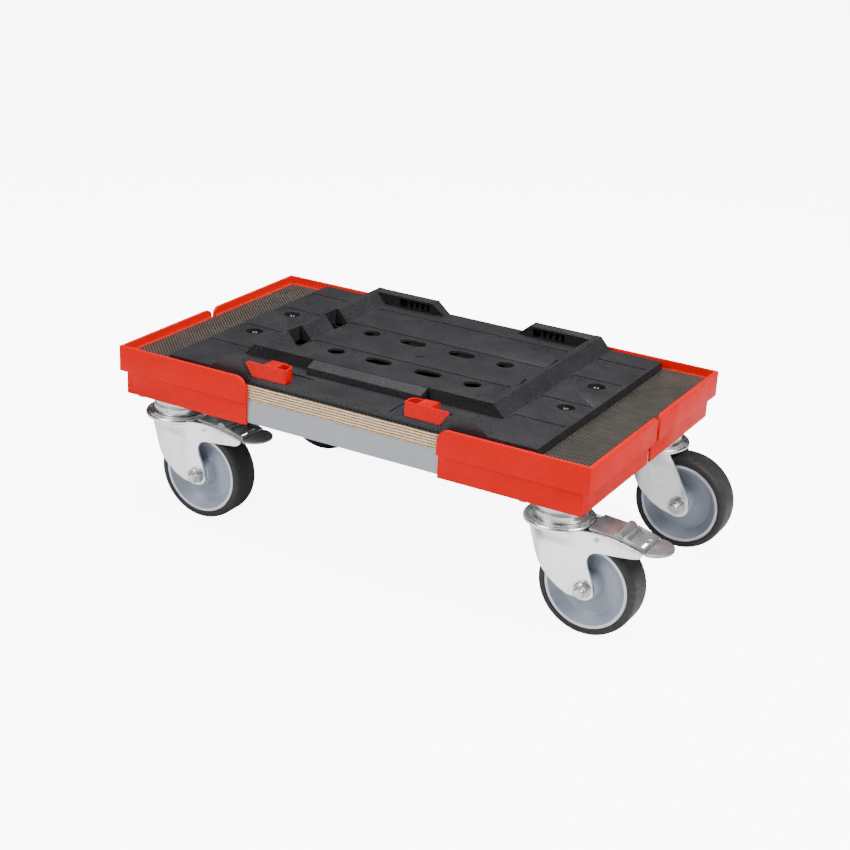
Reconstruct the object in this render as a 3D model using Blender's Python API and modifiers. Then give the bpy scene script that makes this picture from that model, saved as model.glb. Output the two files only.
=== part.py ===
"""Transport dolly with a tool-case adapter plate.

A plywood platform on two folded steel rails, four red plastic corner buffers, four swivel
casters (the two front ones with a foot brake) and, on top, a black plastic adapter plate
whose two red latches hold a stackable tool case.

Metres, +Z up. +X is the long side, -Y is the latch side. Z = 0 is the floor, and X = Y = 0 is
the middle of the whole object's box at rest, with every caster trailing to +X.
"""

import math

import bmesh
import bpy
from mathutils import Matrix, Vector

MM = 0.001

# ---------------------------------------------------------------- driving dimensions
GAP = 0.3 * MM                 # clearance wherever two pieces lie against each other

RIM_LENGTH = 533 * MM          # outside of the corner buffers
RIM_WIDTH = 313 * MM
RAIL_HEIGHT = 24.5 * MM
PANEL_THICKNESS = 16 * MM
RIM_STAND = 8.5 * MM           # how far the buffers stand above the panel

EDGE_INSET = 6 * MM            # panel edge and rail face, behind the rim face
RAIL_WIDTH = 71 * MM
RAIL_SHEET = 2 * MM

RIM_WALL = 3.5 * MM            # buffer wall above the panel
BAND_HEIGHT = 27 * MM          # thick upper band of a buffer
SKIRT_HEIGHT = 24 * MM         # thinner lower band
SKIRT_WALL = 2.1 * MM
SKIRT_INSET_SIDE = 3.4 * MM    # skirt behind the band on the long sides
SKIRT_INSET_END = 7 * MM       # and on the short ends
SHELF_THICKNESS = 2 * MM
BUFFER_ARM = 157.5 * MM        # length of a buffer along a long side
END_JOINT_GAP = 5.5 * MM       # between two buffers on a short end
FREE_END_RADIUS_SIDE = 12 * MM
FREE_END_RADIUS_END = 7.5 * MM

PLATE_LENGTH = 417 * MM        # adapter plate
PLATE_DEPTH = 292 * MM
PLATE_HEIGHT = 9.2 * MM
PLATE_SKIN = 3 * MM
PLATE_SHIFT_Y = -1.5 * MM      # plate middle, behind the deck middle when positive
RIB = 3 * MM
CELL_COLUMNS = 8               # hollows between the ribs under the plate
CELL_ROWS = 6
TRAY_INSIDE = 120 * MM         # foot of a ridge's inner slope, from the middle
TRAY_OUTSIDE = 149.5 * MM      # foot of its outer slope
RIDGE_TOP_INSIDE = 131 * MM
RIDGE_TOP_OUTSIDE = 137.5 * MM
RIDGE_HEIGHT = 13 * MM
FRONT_SHELF = 47.5 * MM        # from the plate's front edge to the front face of the tray
FRONT_RIDGE_TOP = 15 * MM
HUMP_HEIGHT = 14 * MM
HUMP_DEPTH = 11.5 * MM
HUMP_FOOT = (111 * MM, 157 * MM)
HUMP_TOP = (121 * MM, 139 * MM)
LEDGE_HALF = 65.5 * MM
LEDGE_REACH = 12 * MM
LEDGE_HEIGHT = 7.5 * MM
HOOK_THICKNESS = 16 * MM
HOOK_OVERHANG = 4 * MM
HOOK_TOE = 45.5 * MM
HOOK_TOP = 60 * MM
WINDOW = (64 * MM, 102 * MM)
WINDOW_BACK = 8 * MM           # from the plate's back edge to the window's toothed wall
POCKET_BACK = 4 * MM           # and to the wall behind the teeth
WINDOW_ROOF = 2.5 * MM
TEETH = 4
TOOTH = 2 * MM
SLOT_RISE = 2.6 * MM           # thin slots right through, between the teeth
SLOT_HEIGHT = 1.2 * MM
CASE_SCREW_X = 183.2 * MM
HOLE_ROW_Y = 35.2 * MM
ROUND_HOLE_X = 80.2 * MM
ROUND_HOLE_RADIUS = 9.3 * MM
SLOT_HOLE_X = 29.2 * MM
SLOT_HOLE_LENGTH = 30 * MM
SLOT_HOLE_WIDTH = 17 * MM
NICHE_LENGTH = 26 * MM
NICHE_DEPTH = 6 * MM
NICHE_LEAD = 1.5 * MM          # how far a niche runs into the tray floor
SCREW_RECESS_RADIUS = 9.3 * MM
SCREW_RECESS_DEPTH = 4.5 * MM
SCREW_HEAD_RADIUS = 5.2 * MM
SCREW_HEAD_HEIGHT = 2.6 * MM
SCREW_SHANK_RADIUS = 2.4 * MM
SCREW_LENGTH = 17 * MM
RAMP_STARTS = (112.5 * MM, 52.5 * MM, -19.5 * MM, -81 * MM)
RAMP_LENGTH = 23.5 * MM
RAMP_DROP = 0.9 * MM

LATCH_INNER = 67 * MM          # latch, from its inner end to its pointed outer end
LATCH_OUTER = 115 * MM
LATCH_HEIGHT = 14.6 * MM
LATCH_PLATE = 2.3 * MM
LATCH_TRAVEL = 14 * MM
LATCH_HUB = (80 * MM, 95 * MM)
LATCH_HUB_DEPTH = 25 * MM
LATCH_LOOP_DEPTH = 16 * MM
LATCH_WALL = 2 * MM
CHANNEL_DROP = 1.2 * MM

CASTER_MARGIN_END = 1.4 * MM   # from a mount plate to a buffer's skirt
CASTER_MARGIN_SIDE = 2.5 * MM
TRAIL = 38 * MM
WHEEL_RADIUS = 50 * MM
TREAD_WIDTH = 33 * MM
TYRE_THICKNESS = 7.7 * MM
WHEEL_CLEARANCE = 3.5 * MM     # from the tyre's top to the crown
TREAD_CLEARANCE = 2 * MM       # from the tread's side to a fork leg
HUB_RADIUS = 14 * MM
HUB_BORE = 8.6 * MM
SLEEVE_BORE = 5.4 * MM
AXLE_RADIUS = 5 * MM
FORK_SHEET = 2.5 * MM
FORK_FLARE = 6 * MM
FORK_FLARE_START = 36 * MM     # where a leg's top begins to flare, towards the wheel
FORK_FLARE_SPAN = 24 * MM
FORK_WRAP = 6.5 * MM
FORK_WRAP_LEAD = 8 * MM        # where a leg begins to wrap round, behind the wheel's front
FORK_WRAP_SPAN = 20 * MM
FORK_BEND = 17.5 * MM          # height over which a leg flares out below the crown
CROWN_RADIUS = 35 * MM
CROWN_THICKNESS = 6 * MM
KINGPIN_RADIUS = 6 * MM
KINGPIN_HEAD_RADIUS = 11 * MM
KINGPIN_HEAD = 4.5 * MM
RACE_RADIUS = 26 * MM
RACE_BORE = 15 * MM
RACE_HEIGHT = 18.6 * MM
MOUNT_PLATE_LENGTH = 68 * MM
MOUNT_PLATE_WIDTH = 68 * MM
MOUNT_PLATE_THICKNESS = 3 * MM
NUT_ACROSS_FLATS = 15 * MM
NUT_HEIGHT = 7.5 * MM
AXLE_HEAD_HEIGHT = 5 * MM
AXLE_END = 2.5 * MM            # thread standing out of the nut
PEDAL_PIN_X = 47 * MM
PEDAL_PIN_DROP = 0.5 * MM      # pin's axis below the crown's underside
PEDAL_PIN_RADIUS = 2.5 * MM
PEDAL_SIDE_GAP = 0.7 * MM
PEDAL_SHEET = 2.4 * MM
PEDAL_START = 37.5 * MM
PEDAL_FRAME = (71.5 * MM, 94 * MM)
PEDAL_FLAP_MARGIN = 2 * MM     # how far the toe flap stands out past the fork's inside
PEDAL_LUG_X = 66 * MM
SHOE_HALF_WIDTH = 11 * MM

WHEEL_SEGMENTS = 24
SMALL_SEGMENTS = 16

# The fork legs and the pedal are drawn for these sizes and follow the real ones.
DRAWN_WHEEL_RADIUS = 50 * MM
DRAWN_TRAIL = 38 * MM
DRAWN_CROWN_Z = 103.5 * MM

# ---------------------------------------------------------------- levels and offsets
RIM_RADIUS = WHEEL_RADIUS - TYRE_THICKNESS
CROWN_BASE_Z = 2 * WHEEL_RADIUS + WHEEL_CLEARANCE
CROWN_TOP_Z = CROWN_BASE_Z + CROWN_THICKNESS
RACE_BASE_Z = CROWN_TOP_Z + GAP
MOUNT_PLATE_BASE_Z = RACE_BASE_Z + RACE_HEIGHT + GAP
MOUNT_PLATE_TOP_Z = MOUNT_PLATE_BASE_Z + MOUNT_PLATE_THICKNESS
CASTER_HEIGHT = MOUNT_PLATE_TOP_Z + GAP
FORK_INSIDE = TREAD_WIDTH / 2 + TREAD_CLEARANCE
PEDAL_PIN_Z = CROWN_BASE_Z - PEDAL_PIN_DROP
PEDAL_FLAP_RADIUS = FORK_INSIDE + PEDAL_FLAP_MARGIN
PEDAL_RISE = CROWN_BASE_Z - DRAWN_CROWN_Z
CASTER_X = (RIM_LENGTH / 2 - SKIRT_INSET_END - SKIRT_WALL - CASTER_MARGIN_END
            - MOUNT_PLATE_LENGTH / 2)
CASTER_Y = (RIM_WIDTH / 2 - SKIRT_INSET_SIDE - SKIRT_WALL - CASTER_MARGIN_SIDE
            - MOUNT_PLATE_WIDTH / 2)
BUFFER_REACH = RIM_LENGTH / 2 - BUFFER_ARM
RAIL_TOP_Z = CASTER_HEIGHT + RAIL_HEIGHT
PANEL_BASE_Z = RAIL_TOP_Z + GAP
PANEL_TOP_Z = RAIL_TOP_Z + PANEL_THICKNESS
RIM_TOP_Z = PANEL_TOP_Z + RIM_STAND
PLATE_BASE_Z = PANEL_TOP_Z + GAP
PLATE_TOP_Z = PANEL_TOP_Z + PLATE_HEIGHT
RIDGE_TOP_Z = PLATE_TOP_Z + RIDGE_HEIGHT
PLATE_FRONT_Y = PLATE_SHIFT_Y - PLATE_DEPTH / 2
PLATE_BACK_Y = PLATE_SHIFT_Y + PLATE_DEPTH / 2
TRAY_FRONT_Y = PLATE_FRONT_Y + FRONT_SHELF
PEDAL_REACH = PEDAL_FRAME[1] + PEDAL_FLAP_RADIUS
# The pedals reach past the deck on one side, so the deck sits off the box's middle.
DECK_X = (RIM_LENGTH / 2 - (CASTER_X + PEDAL_REACH)) / 2

CASTERS = {                    # name: (side in X, side in Y, has a brake)
    "front_left": (-1, -1, True),
    "front_right": (1, -1, True),
    "rear_left": (-1, 1, False),
    "rear_right": (1, 1, False),
}


# ---------------------------------------------------------------- scene and materials
def clear_scene():
    for obj in list(bpy.data.objects):
        bpy.data.objects.remove(obj)


def new_collection(name):
    collection = bpy.data.collections.new(name)
    bpy.context.scene.collection.children.link(collection)
    return collection


def new_material(name, colour, roughness, metallic=0.0):
    material = bpy.data.materials.new(name)
    material.use_nodes = True
    shader = material.node_tree.nodes["Principled BSDF"]
    shader.inputs["Base Color"].default_value = (*colour, 1.0)
    shader.inputs["Roughness"].default_value = roughness
    shader.inputs["Metallic"].default_value = metallic
    return material


clear_scene()
PARTS = new_collection("transport_dolly")
CUTTERS = new_collection("cutters")
CUTTERS.hide_render = True

RED_PLASTIC = new_material("red_plastic", (0.85, 0.035, 0.02), 0.45)
LATCH_PLASTIC = new_material("latch_plastic", (0.85, 0.01, 0.01), 0.35)
BLACK_PLASTIC = new_material("black_plastic", (0.03, 0.03, 0.032), 0.55)
PLYWOOD = new_material("coated_plywood", (0.09, 0.07, 0.055), 0.6)
PAINTED_STEEL = new_material("painted_steel", (0.45, 0.47, 0.50), 0.4)
ZINC = new_material("zinc_plated_steel", (0.70, 0.71, 0.72), 0.3, 1.0)
WHEEL_PLASTIC = new_material("wheel_plastic", (0.32, 0.34, 0.38), 0.5)
RUBBER = new_material("grey_rubber", (0.07, 0.07, 0.075), 0.8)


# ---------------------------------------------------------------- shape helpers
def evaluated_mesh(obj, name):
    """The object's mesh with its modifiers carried out."""
    bpy.context.view_layer.update()
    graph = bpy.context.evaluated_depsgraph_get()
    mesh = bpy.data.meshes.new_from_object(obj.evaluated_get(graph))
    mesh.name = name
    return mesh


def weld(mesh):
    bm = bmesh.new()
    bm.from_mesh(mesh)
    bmesh.ops.remove_doubles(bm, verts=bm.verts, dist=1e-6)
    bmesh.ops.recalc_face_normals(bm, faces=bm.faces)
    bm.to_mesh(mesh)
    bm.free()


def outline_mesh(name, points, low, high, plane="XY"):
    """A flat outline, as a filled 2D curve, made thick from low to high across its plane."""
    curve = bpy.data.curves.new(name, "CURVE")
    curve.dimensions = "2D"
    curve.fill_mode = "BOTH"
    curve.extrude = (high - low) / 2
    spline = curve.splines.new("POLY")
    spline.points.add(len(points) - 1)
    for point, (u, v) in zip(spline.points, points):
        point.co = (u, v, 0, 1)
    spline.use_cyclic_u = True
    obj = bpy.data.objects.new(name, curve)
    bpy.context.scene.collection.objects.link(obj)
    mesh = evaluated_mesh(obj, name)
    bpy.data.objects.remove(obj)
    bpy.data.curves.remove(curve)
    middle = (low + high) / 2
    turn = {
        "XY": Matrix.Identity(4),
        "XZ": Matrix(((1, 0, 0, 0), (0, 0, 1, 0), (0, 1, 0, 0), (0, 0, 0, 1))),
        "YZ": Matrix(((0, 0, 1, 0), (1, 0, 0, 0), (0, 1, 0, 0), (0, 0, 0, 1))),
    }[plane]
    across = {"XY": (0, 0, middle), "XZ": (0, middle, 0), "YZ": (middle, 0, 0)}[plane]
    mesh.transform(Matrix.Translation(across) @ turn)
    weld(mesh)
    return mesh


def box_mesh(name, *corners):
    """One mesh of boxes, each given as ((x0, x1), (y0, y1), (z0, z1))."""
    bm = bmesh.new()
    for spans in corners:
        size = Matrix.Diagonal([high - low for low, high in spans] + [1])
        middle = Matrix.Translation([(low + high) / 2 for low, high in spans])
        bmesh.ops.create_cube(bm, size=1, matrix=middle @ size)
    mesh = bpy.data.meshes.new(name)
    bm.to_mesh(mesh)
    bm.free()
    return mesh


def rod_mesh(name, *rods, segments=SMALL_SEGMENTS):
    """One mesh of upright cylinders, each given as (x, y, radius, z0, z1)."""
    bm = bmesh.new()
    for x, y, radius, low, high in rods:
        bmesh.ops.create_cone(
            bm, cap_ends=True, segments=segments, radius1=radius, radius2=radius,
            depth=high - low, matrix=Matrix.Translation((x, y, (low + high) / 2)),
        )
    mesh = bpy.data.meshes.new(name)
    bm.to_mesh(mesh)
    bm.free()
    return mesh


def joined_mesh(name, *meshes):
    """Several closed meshes that lie clear of each other, as one mesh."""
    bm = bmesh.new()
    for mesh in meshes:
        bm.from_mesh(mesh)
    joined = bpy.data.meshes.new(name)
    bm.to_mesh(joined)
    bm.free()
    return joined


def turned_mesh(name, profile, segments, ring=True):
    """A profile of (radius, height) turned about Z. It runs down its outer side."""
    mesh = bpy.data.meshes.new(name)
    edges = [(i, i + 1) for i in range(len(profile) - 1)]
    if ring:
        edges.append((len(profile) - 1, 0))
    mesh.from_pydata([(radius, 0, height) for radius, height in profile], edges, [])
    obj = bpy.data.objects.new(name, mesh)
    bpy.context.scene.collection.objects.link(obj)
    screw = obj.modifiers.new("turn", "SCREW")
    screw.steps = segments
    screw.render_steps = segments
    screw.use_merge_vertices = True
    screw.merge_threshold = 1e-6
    result = evaluated_mesh(obj, name)
    bpy.data.objects.remove(obj)
    weld(result)
    return result


def mirrored(mesh, axis):
    """A copy of the mesh on the other side of the plane across this axis."""
    copy = mesh.copy()
    scale = [1, 1, 1]
    scale["XYZ".index(axis)] = -1
    copy.transform(Matrix.Diagonal(scale + [1]))
    copy.flip_normals()
    return copy


def both_sides(mesh, axis="X"):
    return joined_mesh(mesh.name + "_pair", mesh, mirrored(mesh, axis))


def combined(name, base, steps):
    """The base mesh after Boolean steps, each (operation, mesh)."""
    obj = bpy.data.objects.new(name, base)
    PARTS.objects.link(obj)
    helpers = []
    for index, (operation, mesh) in enumerate(steps):
        helper = bpy.data.objects.new(f"{name}_{operation.lower()}_{index}", mesh)
        helper.display_type = "WIRE"
        helper.hide_render = True
        CUTTERS.objects.link(helper)
        helpers.append(helper)
        boolean = obj.modifiers.new(helper.name, "BOOLEAN")
        boolean.operation = operation
        boolean.solver = "EXACT"
        boolean.object = helper
    mesh = evaluated_mesh(obj, name)
    bpy.data.objects.remove(obj)
    for helper in helpers:
        bpy.data.objects.remove(helper)
    weld(mesh)
    return mesh


def bevelled(name, base, width, segments=1, angle=math.radians(40)):
    """The mesh with its sharp edges rounded."""
    obj = bpy.data.objects.new(name, base)
    PARTS.objects.link(obj)
    bevel = obj.modifiers.new("round edges", "BEVEL")
    bevel.width = width
    bevel.segments = segments
    bevel.limit_method = "ANGLE"
    bevel.angle_limit = angle
    mesh = evaluated_mesh(obj, name)
    bpy.data.objects.remove(obj)
    return mesh


def arc(centre_u, centre_v, radius, start, end, steps):
    """Points along an arc, angles in degrees."""
    points = []
    for step in range(steps + 1):
        angle = math.radians(start + (end - start) * step / steps)
        points.append((centre_u + radius * math.cos(angle), centre_v + radius * math.sin(angle)))
    return points


def smooth_step(value):
    value = min(max(value, 0), 1)
    return value * value * (3 - 2 * value)


def empty(name, location, parent=None):
    obj = bpy.data.objects.new(name, None)
    obj.empty_display_size = 20 * MM
    obj.location = location
    obj.parent = parent
    PARTS.objects.link(obj)
    return obj


def part(name, mesh, material, parent, location=(0, 0, 0), rotation=(0, 0, 0)):
    """One named piece of the object."""
    obj = bpy.data.objects.new(name, mesh)
    obj.location = location
    obj.rotation_euler = rotation
    obj.parent = parent
    PARTS.objects.link(obj)
    if not mesh.materials:
        mesh.materials.append(material)
    mesh.shade_smooth()
    mesh.set_sharp_from_angle(angle=math.radians(35))
    return obj


DECK = empty("deck_middle", (DECK_X, 0, 0))


# ---------------------------------------------------------------- platform
def make_panel():
    half_length = RIM_LENGTH / 2 - EDGE_INSET
    half_width = RIM_WIDTH / 2 - EDGE_INSET
    panel = box_mesh("panel", ((-half_length, half_length), (-half_width, half_width),
                               (PANEL_BASE_Z, PANEL_TOP_Z)))
    pilot = SCREW_SHANK_RADIUS + GAP
    pilots = rod_mesh("pilots", *[(x * CASE_SCREW_X, y * HOLE_ROW_Y, pilot,
                                   PANEL_BASE_Z - GAP, PANEL_TOP_Z + GAP)
                                  for x in (-1, 1) for y in (-1, 1)], segments=12)
    part("deck_panel", combined("deck_panel", panel, [("DIFFERENCE", pilots)]), PLYWOOD, DECK)


def make_rails():
    """Folded steel channels under the long edges, open to the middle of the deck."""
    half_length = RIM_LENGTH / 2 - SKIRT_INSET_END - SKIRT_WALL - 2 * GAP
    face = RIM_WIDTH / 2 - EDGE_INSET
    inner = face - RAIL_WIDTH
    section = [(face, CASTER_HEIGHT), (face, RAIL_TOP_Z), (inner, RAIL_TOP_Z),
               (inner, RAIL_TOP_Z - RAIL_SHEET), (face - RAIL_SHEET, RAIL_TOP_Z - RAIL_SHEET),
               (face - RAIL_SHEET, CASTER_HEIGHT + RAIL_SHEET), (inner, CASTER_HEIGHT + RAIL_SHEET),
               (inner, CASTER_HEIGHT)]
    rail = outline_mesh("rail", section, -half_length, half_length, "YZ")
    # The swivel bolts' heads sink into round holes in the lower flange.
    holes = rod_mesh("kingpin_holes", *[(side * CASTER_X, CASTER_Y, KINGPIN_RADIUS + 3 * GAP,
                                         CASTER_HEIGHT - RAIL_SHEET, CASTER_HEIGHT + 2 * RAIL_SHEET)
                                        for side in (-1, 1)])
    rear = combined("rear_rail", rail, [("DIFFERENCE", holes)])
    part("rear_rail", rear, PAINTED_STEEL, DECK)
    part("front_rail", mirrored(rear, "Y"), PAINTED_STEEL, DECK)


def angled_wall(name, inset_x, inset_y, wall_x, wall_y, end_x, end_y, low, high, radii=(0, 0)):
    """An L of two upright walls round the deck's +X +Y corner, its free ends at end_x and end_y.

    The inset is from the rim's face to this wall's face. The radii round the two free ends' tops.
    """
    outer_x = RIM_LENGTH / 2 - inset_x
    outer_y = RIM_WIDTH / 2 - inset_y
    outline = [(end_x, outer_y), (outer_x, outer_y), (outer_x, end_y),
               (outer_x - wall_x, end_y), (outer_x - wall_x, outer_y - wall_y),
               (end_x, outer_y - wall_y)]
    mesh = outline_mesh(name, outline, low, high)
    bm = bmesh.new()
    bm.from_mesh(mesh)
    for radius, axis, end in ((radii[0], 0, end_x), (radii[1], 1, end_y)):
        if radius:
            edges = [edge for edge in bm.edges
                     if all(abs(vert.co[axis] - end) < 1e-6 and abs(vert.co.z - high) < 1e-6
                            for vert in edge.verts)]
            bmesh.ops.bevel(bm, geom=edges, offset=radius, segments=6, profile=0.5,
                            affect="EDGES", clamp_overlap=False)
    bm.to_mesh(mesh)
    bm.free()
    return mesh


def make_corner_buffers():
    band_low = RIM_TOP_Z - BAND_HEIGHT
    skirt_low = band_low - SKIRT_HEIGHT
    end_y = END_JOINT_GAP / 2
    hug = EDGE_INSET - 2 * GAP
    rim = angled_wall("rim", 0, 0, RIM_WALL, RIM_WALL, BUFFER_REACH, end_y, band_low, RIM_TOP_Z,
                      (FREE_END_RADIUS_SIDE, FREE_END_RADIUS_END))
    # Below the panel's top the wall is thicker and hugs the panel's edge.
    hug_wall = angled_wall("hug", GAP, GAP, hug - GAP, hug - GAP, BUFFER_REACH + GAP, end_y + GAP,
                           band_low + GAP, PANEL_TOP_Z)
    shelf = angled_wall("shelf", GAP, GAP, SKIRT_INSET_END + SKIRT_WALL - GAP,
                        SKIRT_INSET_SIDE + SKIRT_WALL - GAP, BUFFER_REACH + GAP, end_y + GAP,
                        band_low + GAP, RAIL_TOP_Z - GAP)
    skirt = angled_wall("skirt", SKIRT_INSET_END, SKIRT_INSET_SIDE, SKIRT_WALL, SKIRT_WALL,
                        BUFFER_REACH + 2 * GAP, end_y + 2 * GAP, skirt_low, RAIL_TOP_Z - 2 * GAP)
    rim = bevelled("rim", rim, 0.9 * MM, 2)
    buffer = combined("buffer", rim, [("UNION", hug_wall), ("UNION", shelf), ("UNION", skirt)])
    part("corner_buffer_rear_right", buffer, RED_PLASTIC, DECK)
    rear_left = mirrored(buffer, "X")
    part("corner_buffer_rear_left", rear_left, RED_PLASTIC, DECK)
    part("corner_buffer_front_right", mirrored(buffer, "Y"), RED_PLASTIC, DECK)
    part("corner_buffer_front_left", mirrored(rear_left, "Y"), RED_PLASTIC, DECK)


# ---------------------------------------------------------------- adapter plate
def screw_places():
    return [(x * CASE_SCREW_X, y * HOLE_ROW_Y) for x in (-1, 1) for y in (-1, 1)]


def plate_cells():
    """Hollows under the plate's skin, between its ribs, leaving a solid boss round each screw."""
    columns, rows = CELL_COLUMNS, CELL_ROWS
    length = PLATE_LENGTH - 2 * RIB
    depth = PLATE_DEPTH - 2 * RIB
    cells = []
    for column in range(columns):
        for row in range(rows):
            x = -PLATE_LENGTH / 2 + RIB + length * column / columns
            y = PLATE_FRONT_Y + RIB + depth * row / rows
            cells.append(((x + RIB / 2, x + length / columns - RIB / 2),
                          (y + RIB / 2, y + depth / rows - RIB / 2),
                          (PLATE_BASE_Z - RIB, PLATE_TOP_Z - PLATE_SKIN)))
    bosses = rod_mesh("bosses", *[(x, y, SCREW_RECESS_RADIUS + 2 * MM, PLATE_BASE_Z - 2 * RIB,
                                   PLATE_TOP_Z) for x, y in screw_places()])
    return combined("plate_cells", box_mesh("cells", *cells), [("DIFFERENCE", bosses)])


def ridge_mesh():
    """One side wall of the tray, from the front face to the back edge."""
    sink = PLATE_TOP_Z - 2 * MM
    section = [(TRAY_OUTSIDE, sink), (TRAY_OUTSIDE, PLATE_TOP_Z), (RIDGE_TOP_OUTSIDE, RIDGE_TOP_Z),
               (RIDGE_TOP_INSIDE, RIDGE_TOP_Z), (TRAY_INSIDE, PLATE_TOP_Z), (TRAY_INSIDE, sink)]
    return outline_mesh("ridge", section, TRAY_FRONT_Y, PLATE_BACK_Y - GAP, "XZ")


def front_ridge_mesh():
    sink = PLATE_TOP_Z - 1.5 * MM
    back_top = TRAY_FRONT_Y + FRONT_RIDGE_TOP
    section = [(TRAY_FRONT_Y + GAP, sink), (TRAY_FRONT_Y + GAP, RIDGE_TOP_Z - GAP),
               (back_top, RIDGE_TOP_Z - GAP), (back_top + RIDGE_HEIGHT - GAP, PLATE_TOP_Z),
               (back_top + RIDGE_HEIGHT - GAP, sink)]
    reach = (RIDGE_TOP_INSIDE + RIDGE_TOP_OUTSIDE) / 2
    return outline_mesh("front_ridge", section, -reach, reach, "YZ")


def ledge_mesh():
    sink = PLATE_TOP_Z - 1 * MM
    front = TRAY_FRONT_Y - LEDGE_REACH
    section = [(front, sink), (front, PLATE_TOP_Z + LEDGE_HEIGHT),
               (TRAY_FRONT_Y + 1 * MM, RIDGE_TOP_Z - 2 * GAP), (TRAY_FRONT_Y + 2 * MM, sink)]
    return outline_mesh("ledge", section, -LEDGE_HALF, LEDGE_HALF, "YZ")


def hump_mesh():
    """A stop on the front edge, beside a latch."""
    sink = PLATE_TOP_Z - 2.5 * MM
    top = PLATE_TOP_Z + HUMP_HEIGHT
    section = [(HUMP_FOOT[0], sink), (HUMP_FOOT[0], PLATE_TOP_Z), (HUMP_TOP[0], top),
               (HUMP_TOP[1], top), (HUMP_FOOT[1], PLATE_TOP_Z), (HUMP_FOOT[1], sink)]
    return outline_mesh("hump", section, PLATE_FRONT_Y + GAP, PLATE_FRONT_Y + HUMP_DEPTH, "XZ")


def hook_mesh():
    """A back hook, joined to its ridge, with a sloped free end and an overhanging inner face."""
    sink = PLATE_TOP_Z - 0.8 * MM
    joint = (RIDGE_TOP_INSIDE + RIDGE_TOP_OUTSIDE) / 2
    back = PLATE_BACK_Y - 2 * GAP
    top = RIDGE_TOP_Z - GAP
    section = [(HOOK_TOE, sink), (HOOK_TOE, PLATE_TOP_Z), (HOOK_TOP, top), (joint, top),
               (joint, sink)]
    block = outline_mesh("hook", section, back - HOOK_THICKNESS, back, "XZ")
    # A wedge off the inner face leaves the top overhanging the foot.
    wedge = outline_mesh("wedge", [(back - HOOK_THICKNESS - 1 * MM, sink - 1 * MM),
                                   (back - HOOK_THICKNESS + HOOK_OVERHANG, sink - 1 * MM),
                                   (back - HOOK_THICKNESS, top + GAP),
                                   (back - HOOK_THICKNESS - 1 * MM, top + GAP)],
                         HOOK_TOE - 1 * MM, joint + 1 * MM, "YZ")
    return combined("hook", block, [("DIFFERENCE", wedge)])


def hook_window_cuts():
    """The hook's window, the pockets between its teeth, and the slots through its back."""
    back = PLATE_BACK_Y
    low = PLATE_TOP_Z + GAP
    roof = RIDGE_TOP_Z - WINDOW_ROOF
    window = box_mesh("window", (WINDOW, (back - HOOK_THICKNESS - 3 * MM, back - WINDOW_BACK),
                                 (low, roof)))
    pitch = (WINDOW[1] - WINDOW[0] - TOOTH) / (TEETH + 1)
    pockets = []
    slots = []
    for index in range(TEETH + 1):
        x = WINDOW[0] + TOOTH + index * pitch
        span = (x, x + pitch - TOOTH)
        pockets.append((span, (back - WINDOW_BACK - GAP, back - POCKET_BACK), (low, roof)))
        slots.append(((span[0] + 0.8 * MM, span[1] - 0.8 * MM),
                      (back - POCKET_BACK - GAP, back + 1 * MM),
                      (low + SLOT_RISE, low + SLOT_RISE + SLOT_HEIGHT)))
    return [both_sides(window), both_sides(box_mesh("pockets", *pockets)),
            both_sides(box_mesh("slots", *slots))]


def niche_cuts():
    """Square pockets in the ridges' inner slopes, one at each row of holes."""
    outer = (RIDGE_TOP_INSIDE + RIDGE_TOP_OUTSIDE) / 2
    half = NICHE_LENGTH / 2
    niches = [((TRAY_INSIDE - NICHE_LEAD, outer), (y - half, y + half),
               (PLATE_TOP_Z - NICHE_DEPTH, RIDGE_TOP_Z + 1 * MM)) for y in (-HOLE_ROW_Y, HOLE_ROW_Y)]
    return both_sides(box_mesh("niches", *niches))


def ramp_cuts():
    """Shallow ramps across the wings and the tray floor, each ending in a small step."""
    wing = (TRAY_OUTSIDE + 1.5 * MM, PLATE_LENGTH / 2 - 4 * MM)
    floor = TRAY_INSIDE - 3 * MM
    ramps = []
    for start in RAMP_STARTS:
        spans = [wing, (-wing[1], -wing[0])]
        if start - RAMP_LENGTH > TRAY_FRONT_Y:
            spans.append((-floor, floor))
        section = [(start, PLATE_TOP_Z - RAMP_DROP), (start, PLATE_TOP_Z + 1 * MM),
                   (start - RAMP_LENGTH, PLATE_TOP_Z + 1 * MM), (start - RAMP_LENGTH, PLATE_TOP_Z)]
        for low, high in spans:
            ramps.append(outline_mesh("ramp", section, low, high, "YZ"))
    return joined_mesh("ramps", *ramps)


def floor_hole_cuts():
    low = PLATE_BASE_Z - 1 * MM
    high = PLATE_TOP_Z + 1 * MM
    rounds = rod_mesh("round_holes", *[(x * ROUND_HOLE_X, y * HOLE_ROW_Y, ROUND_HOLE_RADIUS, low, high)
                                       for x in (-1, 1) for y in (-1, 1)], segments=20)
    slots = []
    end = (SLOT_HOLE_LENGTH - SLOT_HOLE_WIDTH) / 2
    radius = SLOT_HOLE_WIDTH / 2
    for x in (-SLOT_HOLE_X, SLOT_HOLE_X):
        for y in (-HOLE_ROW_Y, HOLE_ROW_Y):
            outline = arc(x + end, y, radius, -90, 90, 8) + arc(x - end, y, radius, 90, 270, 8)
            slots.append(outline_mesh("slot_hole", outline, low, high))
    return joined_mesh("floor_holes", rounds, *slots)


def screw_hole_cuts():
    holes = []
    for x, y in screw_places():
        holes.append((x, y, SCREW_RECESS_RADIUS, PLATE_TOP_Z - SCREW_RECESS_DEPTH,
                      PLATE_TOP_Z + 1 * MM))
    through = [(x, y, SCREW_SHANK_RADIUS + GAP, PLATE_BASE_Z - 1 * MM,
                PLATE_TOP_Z - SCREW_RECESS_DEPTH + GAP) for x, y in screw_places()]
    return rod_mesh("recesses", *holes), rod_mesh("through", *through, segments=12)


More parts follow.
